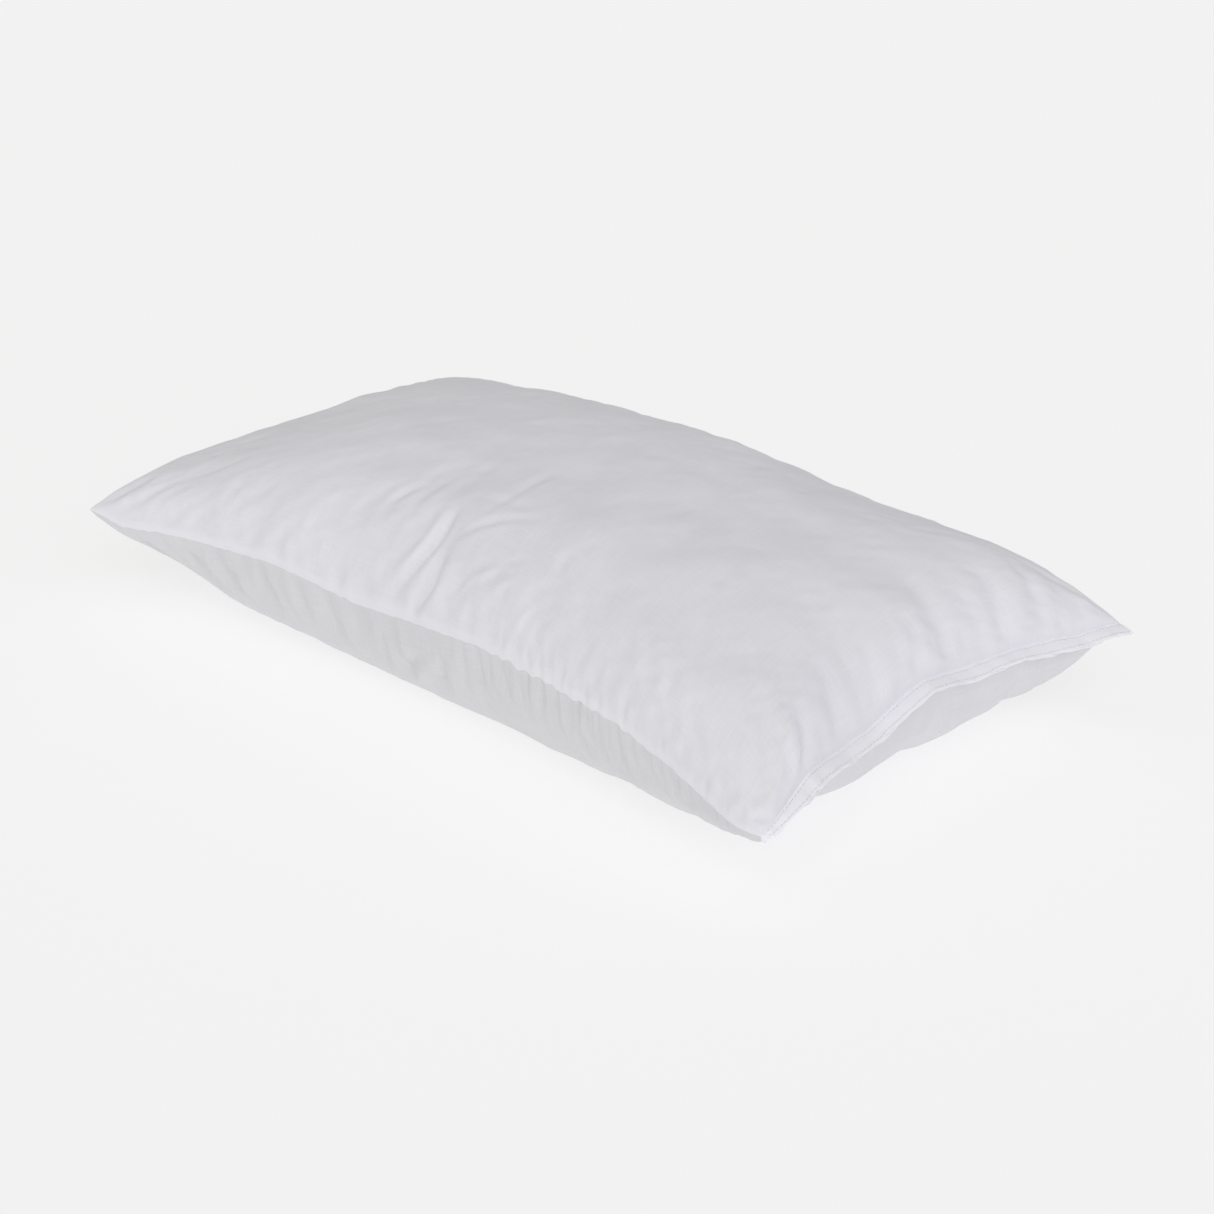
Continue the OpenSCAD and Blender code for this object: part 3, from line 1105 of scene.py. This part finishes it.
@dataclass
class Cover:
    """Cotton bag: a top and an underside panel that meet in the seams and end in the closing lip."""

    shape: BagShape
    cloth: WovenCotton
    # Same cloth as the top, painted a little greyer: painted shade on the underside
    painted_shade_under_cloth: WovenCotton
    # Columns and rows of points: the underside's gathers are finer, and its middle is flat
    top_points: tuple[int, int] = (400, 116)
    under_points: tuple[int, int] = (560, 84)
    thickness: float = 0.4 * MM
    lip_thickness: float = 1.0 * MM
    lip_droop: float = 3.2 * MM
    # Section of the lip: share of its width outwards, height as a share of its thickness
    lip_section: tuple[tuple[float, float], ...] = (
        (0.06, 1.0), (0.17, 0.72), (0.3, 1.0), (0.5, 1.12), (0.7, 1.0), (0.83, 0.72), (0.93, 0.95),
        (0.99, 0.75), (1.0, 0.45), (0.98, 0.1), (0.9, 0.05), (0.5, 0.04), (0.0, 0.04), (-0.5, 0.04),
    )
    allowance: float = 10 * MM
    seam_ridge: float = 2.0 * MM
    # The folded allowance shows on the top as a band, from its full height to its end
    ridge_band: tuple[float, float] = (8 * MM, 14 * MM)
    # Below the seam it shows as a hollow: place and half width
    seam_hollow: tuple[float, float] = (5 * MM, 4 * MM)
    # Unevenness of the filling: height, wavelength, seed; it dies out towards the seams
    unevenness: tuple[tuple[float, float, int], ...] = (
        (0.8 * MM, 150 * MM, 31),
        (0.5 * MM, 62 * MM, 41),
        (0.12 * MM, 27 * MM, 51),
    )
    calm_reach: float = 30 * MM
    # Fullness below which there is too little room for wrinkles
    tight_share: float = 0.16
    # Share of the whiter colour on the top over its allowance: partly doubled cloth, partly painted
    # highlight on the band above the seam
    allowance_tone_and_highlight: float = 0.35
    smooth_angle: float = 72.0
    settling: CoverSettling | None = None

    def __post_init__(self) -> None:
        """Lay out the lattice and work out the dressed surface of each panel."""
        self.lattices = {
            Side.TOP: Lattice(self.shape, *self.top_points),
            Side.UNDERSIDE: Lattice(self.shape, *self.under_points),
        }
        moves = self.settling.moves(self.shape) if self.settling else {}
        self.grids = {}
        for side, lattice in self.lattices.items():
            wrinkles = regrid(moves[side], lattice.columns, lattice.rows) if moves else 0.0
            self.grids[side] = self.dressed(side, wrinkles)

    def dressed(self, side: Side, wrinkles: Array | float) -> Array:
        """Return one panel's surface with its wrinkles, folds and gathers.

        Args:
            side: the panel.
            wrinkles: move of each point from the cloth simulation.

        Returns:
            Points of the whole lattice.
        """
        lattice = self.lattices[side]
        u, v = lattice.u, lattice.v
        grid = lattice.points(side)
        along, across = lattice.arcs(side)
        flat_x, flat_y = np.meshgrid(along, across, indexing="ij")

        def to_flat(places: Array) -> Array:
            """Turn (u, v) places into flat-cut coordinates."""
            return np.stack([np.interp(places[:, 0], lattice.u_line, along),
                             np.interp(places[:, 1], lattice.v_line, across)], axis=-1)

        inset = np.minimum(along[-1] - np.abs(flat_x), across[-1] - np.abs(flat_y))
        heights = np.zeros(flat_x.shape)
        for height, wave, seed in self.unevenness:
            heights += height * soft_noise(flat_x, flat_y, wave, seed + side.value)
        heights *= smooth(0.0, self.calm_reach, inset)
        # The folded allowance inside holds the seam out as a soft ridge
        to_side = across[-1] - np.abs(flat_y)
        if side is Side.TOP:
            band = 1.0 - smooth(*self.ridge_band, to_side)
            heights += self.seam_ridge * band * (1.0 + 0.25 * soft_noise(flat_x, flat_y, 40 * MM, 33))
        else:
            place, width = self.seam_hollow
            heights -= self.seam_ridge * np.exp(-(((to_side - place) / width) ** 2))
        for feature in FOLDS + SWELLS:
            if feature.side is side:
                heights += feature.heights(flat_x, flat_y, to_flat)
        for run in PUCKERS:
            if run.side is side:
                heights += run.heights(flat_x, flat_y, (along[-1], across[-1]), to_flat)
        fade = smooth(-0.5 * MM, 3.5 * MM, inset)
        if side is Side.UNDERSIDE:
            # It stays flat where it rests
            fade = fade * (0.1 + 0.9 * smooth(0.5 * MM, 9.0 * MM, grid[..., 2]))
        roomy = np.clip(self.shape.plump(u, v) / self.tight_share, 0.0, 1.0)
        moved = (heights * fade * roomy)[..., None] * outward_normals(grid, side)
        grid = grid + moved + wrinkles * (fade * roomy)[..., None]
        middle = self.shape.seam_height(u, v)
        step = 0.3 * MM * fade
        if side is Side.TOP:
            grid[..., 2] = np.maximum(grid[..., 2], middle + step)
        else:
            grid[..., 2] = np.maximum(np.minimum(grid[..., 2], middle - step), 0.0)
        return self.to_lip(grid, side)

    def to_lip(self, grid: Array, side: Side) -> Array:
        """Lift the right-hand end of a panel to the face of the closing lip.

        Args:
            grid: points of the panel.
            side: the panel.

        Returns:
            The points, with those near the end moved.
        """
        lattice = self.lattices[side]
        middle = self.shape.seam_height(lattice.u, lattice.v)
        near_end = smooth(0.985, 1.0, lattice.u) * self.lip_rounding(lattice.v)
        least = self.lip_thickness * near_end
        gap = (grid[..., 2] - middle) * side.value
        grid[..., 2] = middle + side.value * np.hypot(np.maximum(gap, 0.0), least)
        return grid

    def lip_rounding(self, v: Array) -> Array:
        """Return the share of the lip's thickness at places across the pillow."""
        inset = (1.0 - np.abs(v)) * self.shape.half_width
        return np.sqrt(np.clip(inset / (1.5 * MM), 0.0, 1.0))

    def lip_points(self, root: Array, side: Side) -> Array:
        """Lay out the lip, from its root round its folded edge to the end of its hem.

        Args:
            root: points at the panel's right-hand end.
            side: the panel.

        Returns:
            Points, a column for each step of the section.
        """
        v = self.lattices[side].v_line
        middle = self.shape.seam_height(np.ones_like(v), v)
        rounding = self.lip_rounding(v)
        # The lip tucks under at the near corner, and hangs a little
        width = self.shape.lip * (1.0 - 0.8 * smooth(-0.72, -0.97, v))
        flat_y = self.lattices[side].arcs(side)[1]
        wave = soft_noise(flat_y, np.full_like(flat_y, 0.01 * side.value), 14 * MM, 71)
        points = []
        for out, height in self.lip_section:
            tuck = 1.0 + 0.22 * wave * (height > 0.3)
            z = middle + side.value * self.lip_thickness * height * rounding * tuck
            z = z + 0.9 * MM * soft_noise(flat_y, np.zeros_like(flat_y), 45 * MM, 72) * max(out, 0.0)
            z = z - self.lip_droop * max(out, 0.0) ** 1.4
            x = root[:, 0] + out * width + 0.5 * MM * wave * max(out, 0.0) * (height > 0.3)
            points.append(np.stack([x, root[:, 1], z], axis=-1))
        return np.stack(points)

    def panel(self, name: str, node: str, side: Side, cloth: WovenCotton) -> bpy.types.Object:
        """Make one panel with its lip.

        Args:
            name: name of the piece.
            node: CAD node that it stands for.
            side: the panel.
            cloth: its finish.

        Returns:
            The finished piece.
        """
        grid, lattice = self.grids[side], self.lattices[side]
        lip = self.lip_points(grid[-1], side)
        places = np.concatenate([grid, lip])
        columns = len(places) - 1
        piece = add_grid(name, columns, lattice.rows)
        column, row = grid_cells(piece, columns, lattice.rows)
        move_vertices(piece, places[column, row])
        along, across = lattice.arcs(side)
        lip_steps = np.linalg.norm(np.diff(np.concatenate([grid[-1:], lip]), axis=0), axis=-1)
        lip_arc = np.cumsum(lip_steps.mean(1))
        flat_x = np.concatenate([along, along[-1] + lip_arc])
        self.lay_cloth(piece, np.stack([flat_x[column], across[row]], axis=-1))
        self.mark_layers_and_highlight(piece, side, column, across[row])
        if side is Side.UNDERSIDE:
            edit_all(piece, bpy.ops.mesh.flip_normals)
        select_only(piece)
        bpy.ops.object.shade_smooth()
        wall = piece.modifiers.new("cloth_thickness", "SOLIDIFY")
        wall.thickness = self.thickness
        wall.offset = -1.0
        apply_all(piece)
        bpy.ops.object.shade_smooth_by_angle(angle=math.radians(self.smooth_angle))
        paint(piece, cloth.material())
        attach(piece, "pillow")
        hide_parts(node)
        return piece

    def mark_layers_and_highlight(self, piece: bpy.types.Object, side: Side, grid_column: Array, across: Array) -> None:
        """Store how far each point lies over the folded allowance or in the lip, from 0 to 1; there the
        colour is painted whiter, partly for the doubled cloth and partly as painted highlight.

        Args:
            piece: the panel.
            side: which panel it is; the allowance is pressed towards the top.
            grid_column: lattice column of each vertex.
            across: flat-cut coordinate across the pillow of each vertex.
        """
        along, columns = self.lattices[side].arcs(side)[0], self.lattices[side].columns
        inset = across.max() - np.abs(across)
        to_left = along[np.minimum(grid_column, columns)] - along[0]
        ragged = 1.0 * MM * soft_noise(across, to_left, 35 * MM, 81)
        over = 1.0 - smooth(0.7 * self.allowance, 1.3 * self.allowance, np.minimum(inset, to_left) + ragged)
        layers_and_highlight = over * (self.allowance_tone_and_highlight if side is Side.TOP else 0.0)
        layers_and_highlight[grid_column >= columns] = 1.0
        attribute = piece.data.attributes.new(LAYERS_AND_HIGHLIGHT, "FLOAT", "POINT")
        attribute.data.foreach_set("value", layers_and_highlight.astype(np.float32))

    def lay_cloth(self, piece: bpy.types.Object, flat: Array) -> None:
        """Store the flat-cut coordinates, in metres, as the piece's own map.

        Args:
            piece: the panel.
            flat: the coordinates of each vertex.
        """
        mesh = piece.data
        layer = mesh.uv_layers[0] if mesh.uv_layers else mesh.uv_layers.new(name="flat_cut")
        corners = np.empty(len(mesh.loops), dtype=np.int32)
        mesh.loops.foreach_get("vertex_index", corners)
        layer.uv.foreach_set("vector", np.ascontiguousarray(flat[corners], dtype=np.float32).ravel())

    def build(self) -> dict[Side, bpy.types.Object]:
        """Make both panels.

        Returns:
            The piece for each panel.
        """
        return {
            Side.TOP: self.panel("cotton_top_panel", "top_panel", Side.TOP, self.cloth),
            Side.UNDERSIDE: self.panel(
                "cotton_underside_panel", "bottom_panel", Side.UNDERSIDE, self.painted_shade_under_cloth
            ),
        }


@dataclass
class Wadding:
    """Hollow-fibre filling: one soft mass that fills the bag to its seams."""

    cover: Cover
    fibre: HollowFibre
    inset: float = 8.0 * MM
    thin_share: float = 0.3
    least_height: float = 1.0 * MM
    # Its edge lies inside the seams
    ring_scale: tuple[float, float, float] = (0.985, 0.975, 1.0)
    tuft_height: float = 0.4 * MM
    tuft_wave: float = 12 * MM
    tuft_from: float = 6 * MM
    columns: int = 100
    rows: int = 30

    def build(self) -> bpy.types.Object:
        """Make the filling from the inside of the settled cover.

        Returns:
            The finished piece.
        """
        columns, rows = self.columns, self.rows
        grids = {side: regrid(grid, columns, rows) for side, grid in self.cover.grids.items()}
        # Deep enough to stay under the creases, but less where the bag is thin
        gap = grids[Side.TOP][..., 2:] - grids[Side.UNDERSIDE][..., 2:]
        inset = np.minimum(self.inset, self.thin_share * gap)
        grids = {side: grid - inset * outward_normals(grid, side) for side, grid in grids.items()}
        halves = []
        for side in Side:
            piece = add_grid(f"wadding_{side.name.lower()}", columns, rows)
            column, row = grid_cells(piece, columns, rows)
            places = grids[side].copy()
            places[..., 2] = np.maximum(places[..., 2], self.least_height)
            ring = (grids[Side.TOP] + grids[Side.UNDERSIDE]) / 2.0
            for edge in (np.s_[0, :], np.s_[-1, :], np.s_[:, 0], np.s_[:, -1]):
                places[edge] = ring[edge] * np.array(self.ring_scale)
            thick = np.abs(places[..., 2] - ring[..., 2]) > self.tuft_from
            tufts = soft_noise(places[..., 0], places[..., 1], self.tuft_wave, 61)
            places[..., 2] += self.tuft_height * tufts * thick
            move_vertices(piece, places[column, row])
            halves.append(piece)
        bpy.ops.object.select_all(action="DESELECT")
        for piece in halves:
            piece.select_set(True)
        bpy.context.view_layer.objects.active = halves[0]
        bpy.ops.object.join()
        wadding = halves[0]
        wadding.name = "wadding"
        edit_all(wadding, lambda: bpy.ops.mesh.remove_doubles(threshold=0.02 * MM), outwards)
        bpy.ops.object.shade_smooth()
        paint(wadding, self.fibre.material())
        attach(wadding, "pillow")
        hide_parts("fibre_fill")
        return wadding


# ---- Stitching ----


@dataclass
class Stitching:
    """Rows of sewing thread: the closing topstitch, the seam rows and the overedge loops inside."""

    cover: Cover
    thread: SpunThread
    stitch_length: float = 3.2 * MM
    stitch_gap: float = 0.7 * MM
    thread_d: float = 0.6 * MM
    outer_row: float = 2 * MM
    inner_row: float = 2 * MM
    seam_row: float = 3 * MM
    overedge: float = 4 * MM
    # Distance from loop to loop, and how far each leans
    loop_pitch: float = 4 * MM
    loop_slant: float = 2 * MM
    # The seam's rows lie this far from the plane where the panels meet
    row_height: float = 0.7 * MM

    def template(self) -> tuple[Array, list[tuple[int, ...]]]:
        """Model one stitch, a low arch of thread, one unit long and thick.

        Returns:
            Its points and its faces.
        """
        bpy.ops.object.select_all(action="DESELECT")
        bpy.ops.mesh.primitive_cylinder_add(vertices=6, radius=0.5, depth=1.0, end_fill_type="TRIFAN",
                                            rotation=(0.0, math.pi / 2.0, 0.0))
        piece = bpy.context.object
        bpy.ops.object.transform_apply(location=False, rotation=True, scale=False)
        bpy.ops.object.mode_set(mode="EDIT")
        bpy.ops.mesh.select_all(action="SELECT")
        for place in (-0.3, 0.0, 0.3):
            bpy.ops.mesh.bisect(plane_co=(place, 0.0, 0.0), plane_no=(1.0, 0.0, 0.0))
            bpy.ops.mesh.select_all(action="SELECT")
        bpy.ops.object.mode_set(mode="OBJECT")
        places = vertex_places(piece)
        ends = np.abs(places[:, 0]) > 0.45
        places[ends, 1] *= 0.55
        places[ends, 2] = places[ends, 2] * 0.55 - 0.55
        faces = [tuple(face.vertices) for face in piece.data.polygons]
        bpy.data.objects.remove(piece, do_unlink=True)
        return places, faces

    def row(self, name: str, node: str, line: Array, up: Array,
            material: bpy.types.Material) -> bpy.types.Object:
        """Sew a row of stitches along a line.

        Args:
            name: name of the piece.
            node: CAD node that it stands for.
            line: points of the line.
            up: direction out of the cloth at each point.
            material: the thread's material.

        Returns:
            The finished piece.
        """
        arcs = arc_lengths(line)
        count = int(arcs[-1] / (self.stitch_length + self.stitch_gap))
        pitch = arcs[-1] / count
        starts = np.arange(count) * pitch + self.stitch_gap / 2.0
        ends = starts + pitch - self.stitch_gap

        def at(places: Array, values: Array) -> Array:
            """Read values along the line at arc lengths."""
            return np.stack([np.interp(places, arcs, values[:, k]) for k in range(3)], axis=-1)

        first, last = at(starts, line), at(ends, line)
        along = last - first
        out = unit(at((starts + ends) / 2.0, up))
        across = unit(np.cross(out, along))
        out = unit(np.cross(along, across))
        return self.copies(name, node, (first + last) / 2.0, along, across, out, material)

    def copies(self, name: str, node: str, middle: Array, along: Array, across: Array, out: Array,
               material: bpy.types.Material) -> bpy.types.Object:
        """Copy the stitch to every place, as one piece.

        Args:
            name: name of the piece.
            node: CAD node that it stands for.
            middle: middle of each stitch.
            along: each stitch's length and direction.
            across: unit direction across it.
            out: unit direction out of the cloth.
            material: the thread's material.

        Returns:
            The finished piece.
        """
        places, faces = self.template()
        d = self.thread_d
        points = (
            middle[:, None]
            + places[None, :, :1] * along[:, None]
            + places[None, :, 1:2] * d * across[:, None]
            + (places[None, :, 2:] + 0.3) * d * out[:, None]
        ).reshape(-1, 3)
        count = len(places)
        all_faces = [tuple(k * count + corner for corner in face)
                     for k in range(len(middle)) for face in faces]
        piece = add_mesh(name, points, all_faces)
        edit_all(piece, outwards)
        bpy.ops.object.shade_smooth()
        piece.data.materials.append(material)
        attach(piece, "pillow")
        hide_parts(node)
        log.info("%s: %d stitches", name, len(middle))
        return piece

    def lip_line(self, side: Side, share: float) -> tuple[Array, Array]:
        """Find a line along the lip's face.

        Args:
            side: the panel.
            share: how far out it lies, as a share of the lip's width.

        Returns:
            Points of the line, and the direction out of the cloth at each.
        """
        grid = self.cover.grids[side]
        lip = self.cover.lip_points(grid[-1], side)
        middle = grid.shape[1] // 2
        outs = (lip[:9, middle, 0] - grid[-1, middle, 0]) / self.cover.shape.lip
        column = int(np.argmin(np.abs(outs - share)))
        line = lip[column][3:-3]
        return line, np.tile([0.0, 0.0, float(side.value)], (len(line), 1))

    def seam_line(self, inset: float, height: float) -> Array:
        """Return the line inside the three sewn seams, from the near right corner round to the far one.

        Args:
            inset: distance inside the seams.
            height: height above the plane where the panels meet.

        Returns:
            Points of the line.
        """
        shape = self.cover.shape
        near = np.linspace(0.985, -0.985, 400)
        side = np.linspace(-0.975, 0.975, 240)
        u = np.concatenate([near, np.full(238, -1.0), -near])
        v = np.concatenate([np.full(400, -1.0), side[1:-1], np.full(400, 1.0)])
        x, y = shape.plan(u, v)
        z = shape.seam_height(u, v) + height
        x = x + inset * np.where(u < -0.999, 1.0, 0.0)
        y = y - inset * np.where(np.abs(v) > 0.999, np.sign(v), 0.0)
        return np.stack([x, y, z], axis=-1)

    def overedge_stitches(self, material: bpy.types.Material) -> bpy.types.Object:
        """Wrap the raw edges of the allowance in slanted loops of thread.

        Args:
            material: the thread's material.

        Returns:
            The finished piece.
        """
        edge = self.seam_line(self.cover.allowance, 0.0)
        inner = self.seam_line(self.cover.allowance - self.overedge, 0.0)
        arcs = arc_lengths(edge)
        places = np.arange(self.loop_pitch, arcs[-1] - self.loop_pitch, self.loop_pitch)
        outs, ins = (
            np.stack([np.interp(places + shift, arcs, line[:, k]) for k in range(3)], axis=-1)
            for line, shift in ((edge, 0.0), (inner, self.loop_slant))
        )
        along, out = outs - ins, np.tile([0.0, 0.0, 1.0], (len(places), 1))
        across = unit(np.cross(out, along))
        return self.copies("overedge_stitches", "overedge_thread", (outs + ins) / 2.0 + 0.6 * MM * out,
                           along, across, out, material)

    def build(self) -> None:
        """Sew every row."""
        material = self.thread.material()
        width = self.cover.shape.lip
        for row, share in (("outer", 1.0 - self.outer_row / width), ("inner", self.inner_row / width)):
            for kind, side in (("needle", Side.TOP), ("bobbin", Side.UNDERSIDE)):
                line, up = self.lip_line(side, share)
                self.row(f"closing_{row}_{kind}_stitches", f"closing_{row}_{kind}_thread", line, up,
                         material)
        for kind, sign in (("needle", 1.0), ("bobbin", -1.0)):
            line = self.seam_line(self.seam_row, sign * self.row_height)
            up = np.tile([0.0, 0.0, sign], (len(line), 1))
            self.row(f"seam_{kind}_stitches", f"seam_{kind}_thread", line, up, material)
        self.overedge_stitches(material)


# ---- Care label ----


@dataclass
class CareLabel:
    """Blank tape sewn into the left-hand seam; it hangs free below it."""

    tape: LabelTape
    width: float = 35 * MM
    drop: float = 50 * MM
    thickness: float = 0.4 * MM
    curl: float = 1.6 * MM
    # The seam that it hangs from runs a little askew
    slant: float = 0.0823
    top_gap: float = 0.6 * MM
    columns: int = 20
    rows: int = 28

    def build(self) -> bpy.types.Object:
        """Make the tape, softly curled, in its own CAD box.

        Returns:
            The finished piece.
        """
        low, high = (np.array(corner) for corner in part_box("care_label"))
        piece = add_grid("blank_care_label", self.columns, self.rows)
        column, row = grid_cells(piece, self.columns, self.rows)
        across, down = column / self.columns * 2.0 - 1.0, row / self.rows
        middle_y = (low[1] + high[1]) / 2.0
        middle_x = (low[0] + high[0]) / 2.0
        y = across * (self.width / 2.0)
        bow = self.curl * (down**1.5) * (0.5 * across**2 + 0.25 * np.sin(3.0 * down + 1.2 * across) - 0.1)
        x = middle_x - self.slant * y - bow
        z = high[2] - self.top_gap - down * (high[2] - low[2] - self.top_gap)
        move_vertices(piece, np.stack([x, middle_y + y, z], axis=-1))
        select_only(piece)
        bpy.ops.object.shade_smooth()
        wall = piece.modifiers.new("tape_thickness", "SOLIDIFY")
        wall.thickness = self.thickness
        wall.offset = 0.0
        rim = piece.modifiers.new("tape_edge", "BEVEL")
        rim.width = 0.1 * MM
        rim.segments = 1
        rim.limit_method = "ANGLE"
        apply_all(piece)
        paint(piece, self.tape.material())
        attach(piece, "label")
        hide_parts("care_label")
        return piece


# ---- Studio ----


@dataclass
class Studio:
    """Pale floor, soft light from a bright sky and a few broad suns, and the camera."""

    floor_size: float = 40.0
    # The floor is part paint, which takes the shadow, and part glow, which keeps it even
    floor_paint: str = "#B4B4B4"
    floor_tone: str = "#F2F2F2"
    floor_glow: float = 0.648
    azimuth: float = 44.2293
    elevation: float = 25.7165
    distance: float = 1.7624
    lens: float = 65.06
    shift: tuple[float, float] = (0.02005, 0.03393)
    # Name, azimuth and elevation that the light comes from, strength, angular size, tint
    suns: tuple[tuple[str, float, float, float, float, str], ...] = (
        ("near_light", 36.0, 36.0, 0.73, 50.0, "#FFFEFC"),
        ("right_light", 85.0, 30.0, 0.65, 50.0, "#F0EEFF"),
        ("left_light", -50.0, 45.0, 0.29, 50.0, "#FFFEFF"),
        ("top_light", 44.0, 85.0, 0.25, 50.0, "#FFFFFF"),
    )
    sky: float = 0.32
    sky_tint: str = "#FDFFF8"

    @staticmethod
    def towards(azimuth: float, elevation: float) -> Vector:
        """Return the direction from the pillow to a place round it."""
        a, e = math.radians(azimuth), math.radians(elevation)
        return Vector((math.sin(a) * math.cos(e), -math.cos(a) * math.cos(e), math.sin(e)))

    def add_camera(self) -> None:
        """Add the camera and look through it."""
        back = self.towards(self.azimuth, self.elevation)
        data = bpy.data.cameras.new("camera")
        data.sensor_width = 36.0
        data.lens = self.lens
        data.shift_x, data.shift_y = self.shift
        data.clip_end = 100.0
        camera = add_object("camera", data)
        camera.location = back * self.distance
        camera.rotation_euler = (-back).to_track_quat("-Z", "Y").to_euler()
        bpy.context.scene.camera = camera

    def add_floor(self) -> None:
        """Add the floor: a pale sheet that glows softly, so it stays even, with a faint shadow."""
        bpy.ops.object.select_all(action="DESELECT")
        bpy.ops.mesh.primitive_plane_add(size=self.floor_size, location=(0.0, 0.0, -0.1 * MM))
        floor = bpy.context.object
        floor.name = "pale_floor"
        sheet = ShaderSheet("pale_floor", Roughness=0.9, Specular_IOR_Level=0.0,
                            Base_Color=linear(self.floor_paint), Emission_Color=linear(self.floor_tone),
                            Emission_Strength=self.floor_glow)
        floor.data.materials.append(sheet.material)

    def add_light(self) -> None:
        """Light the scene."""
        world = bpy.data.worlds.new("soft_sky")
        world.use_nodes = True
        background = world.node_tree.nodes["Background"]
        background.inputs["Color"].default_value = linear(self.sky_tint)
        background.inputs["Strength"].default_value = self.sky
        bpy.context.scene.world = world
        for name, azimuth, elevation, strength, size, tint in self.suns:
            data = bpy.data.lights.new(name, "SUN")
            data.energy = strength
            data.angle = math.radians(size)
            data.color = linear(tint)[:3]
            lamp = add_object(name, data)
            lamp.rotation_euler = self.towards(azimuth, elevation).to_track_quat("Z", "Y").to_euler()
        bpy.context.scene.view_settings.view_transform = "Standard"

    def build(self) -> None:
        """Set up the whole studio."""
        self.add_camera()
        self.add_floor()
        self.add_light()


def main() -> None:
    """Build the pillow and its studio."""
    logging.basicConfig(level=logging.INFO, format="%(name)s: %(message)s")
    low, high = (np.array(corner) for corner in cad_bounds)
    shape = BagShape(length=high[0] - low[0], width=high[1] - low[1], crown_top=high[2])
    settling = CoverSettling()
    # The underside's cloth is painted a little greyer: painted shade for the shade that the underside lies
    # in; it is the same cloth as the top
    painted_shade_under_cloth = WovenCotton(name="plain_woven_cotton_underside_painted_shade", light="#E3E3E6", shade="#DCDCDF")
    cover = Cover(shape, WovenCotton(), painted_shade_under_cloth, settling=settling)
    for side, panel in cover.build().items():
        log.info("%s: %d faces on the %s", panel.name, len(panel.data.polygons), side.name.lower())
    wadding = Wadding(cover, HollowFibre()).build()
    log.info("%s: %d faces", wadding.name, len(wadding.data.polygons))
    Stitching(cover, SpunThread()).build()
    label = CareLabel(LabelTape()).build()
    log.info("%s: %d faces", label.name, len(label.data.polygons))
    Studio().build()


if __name__ == "__main__":
    main()
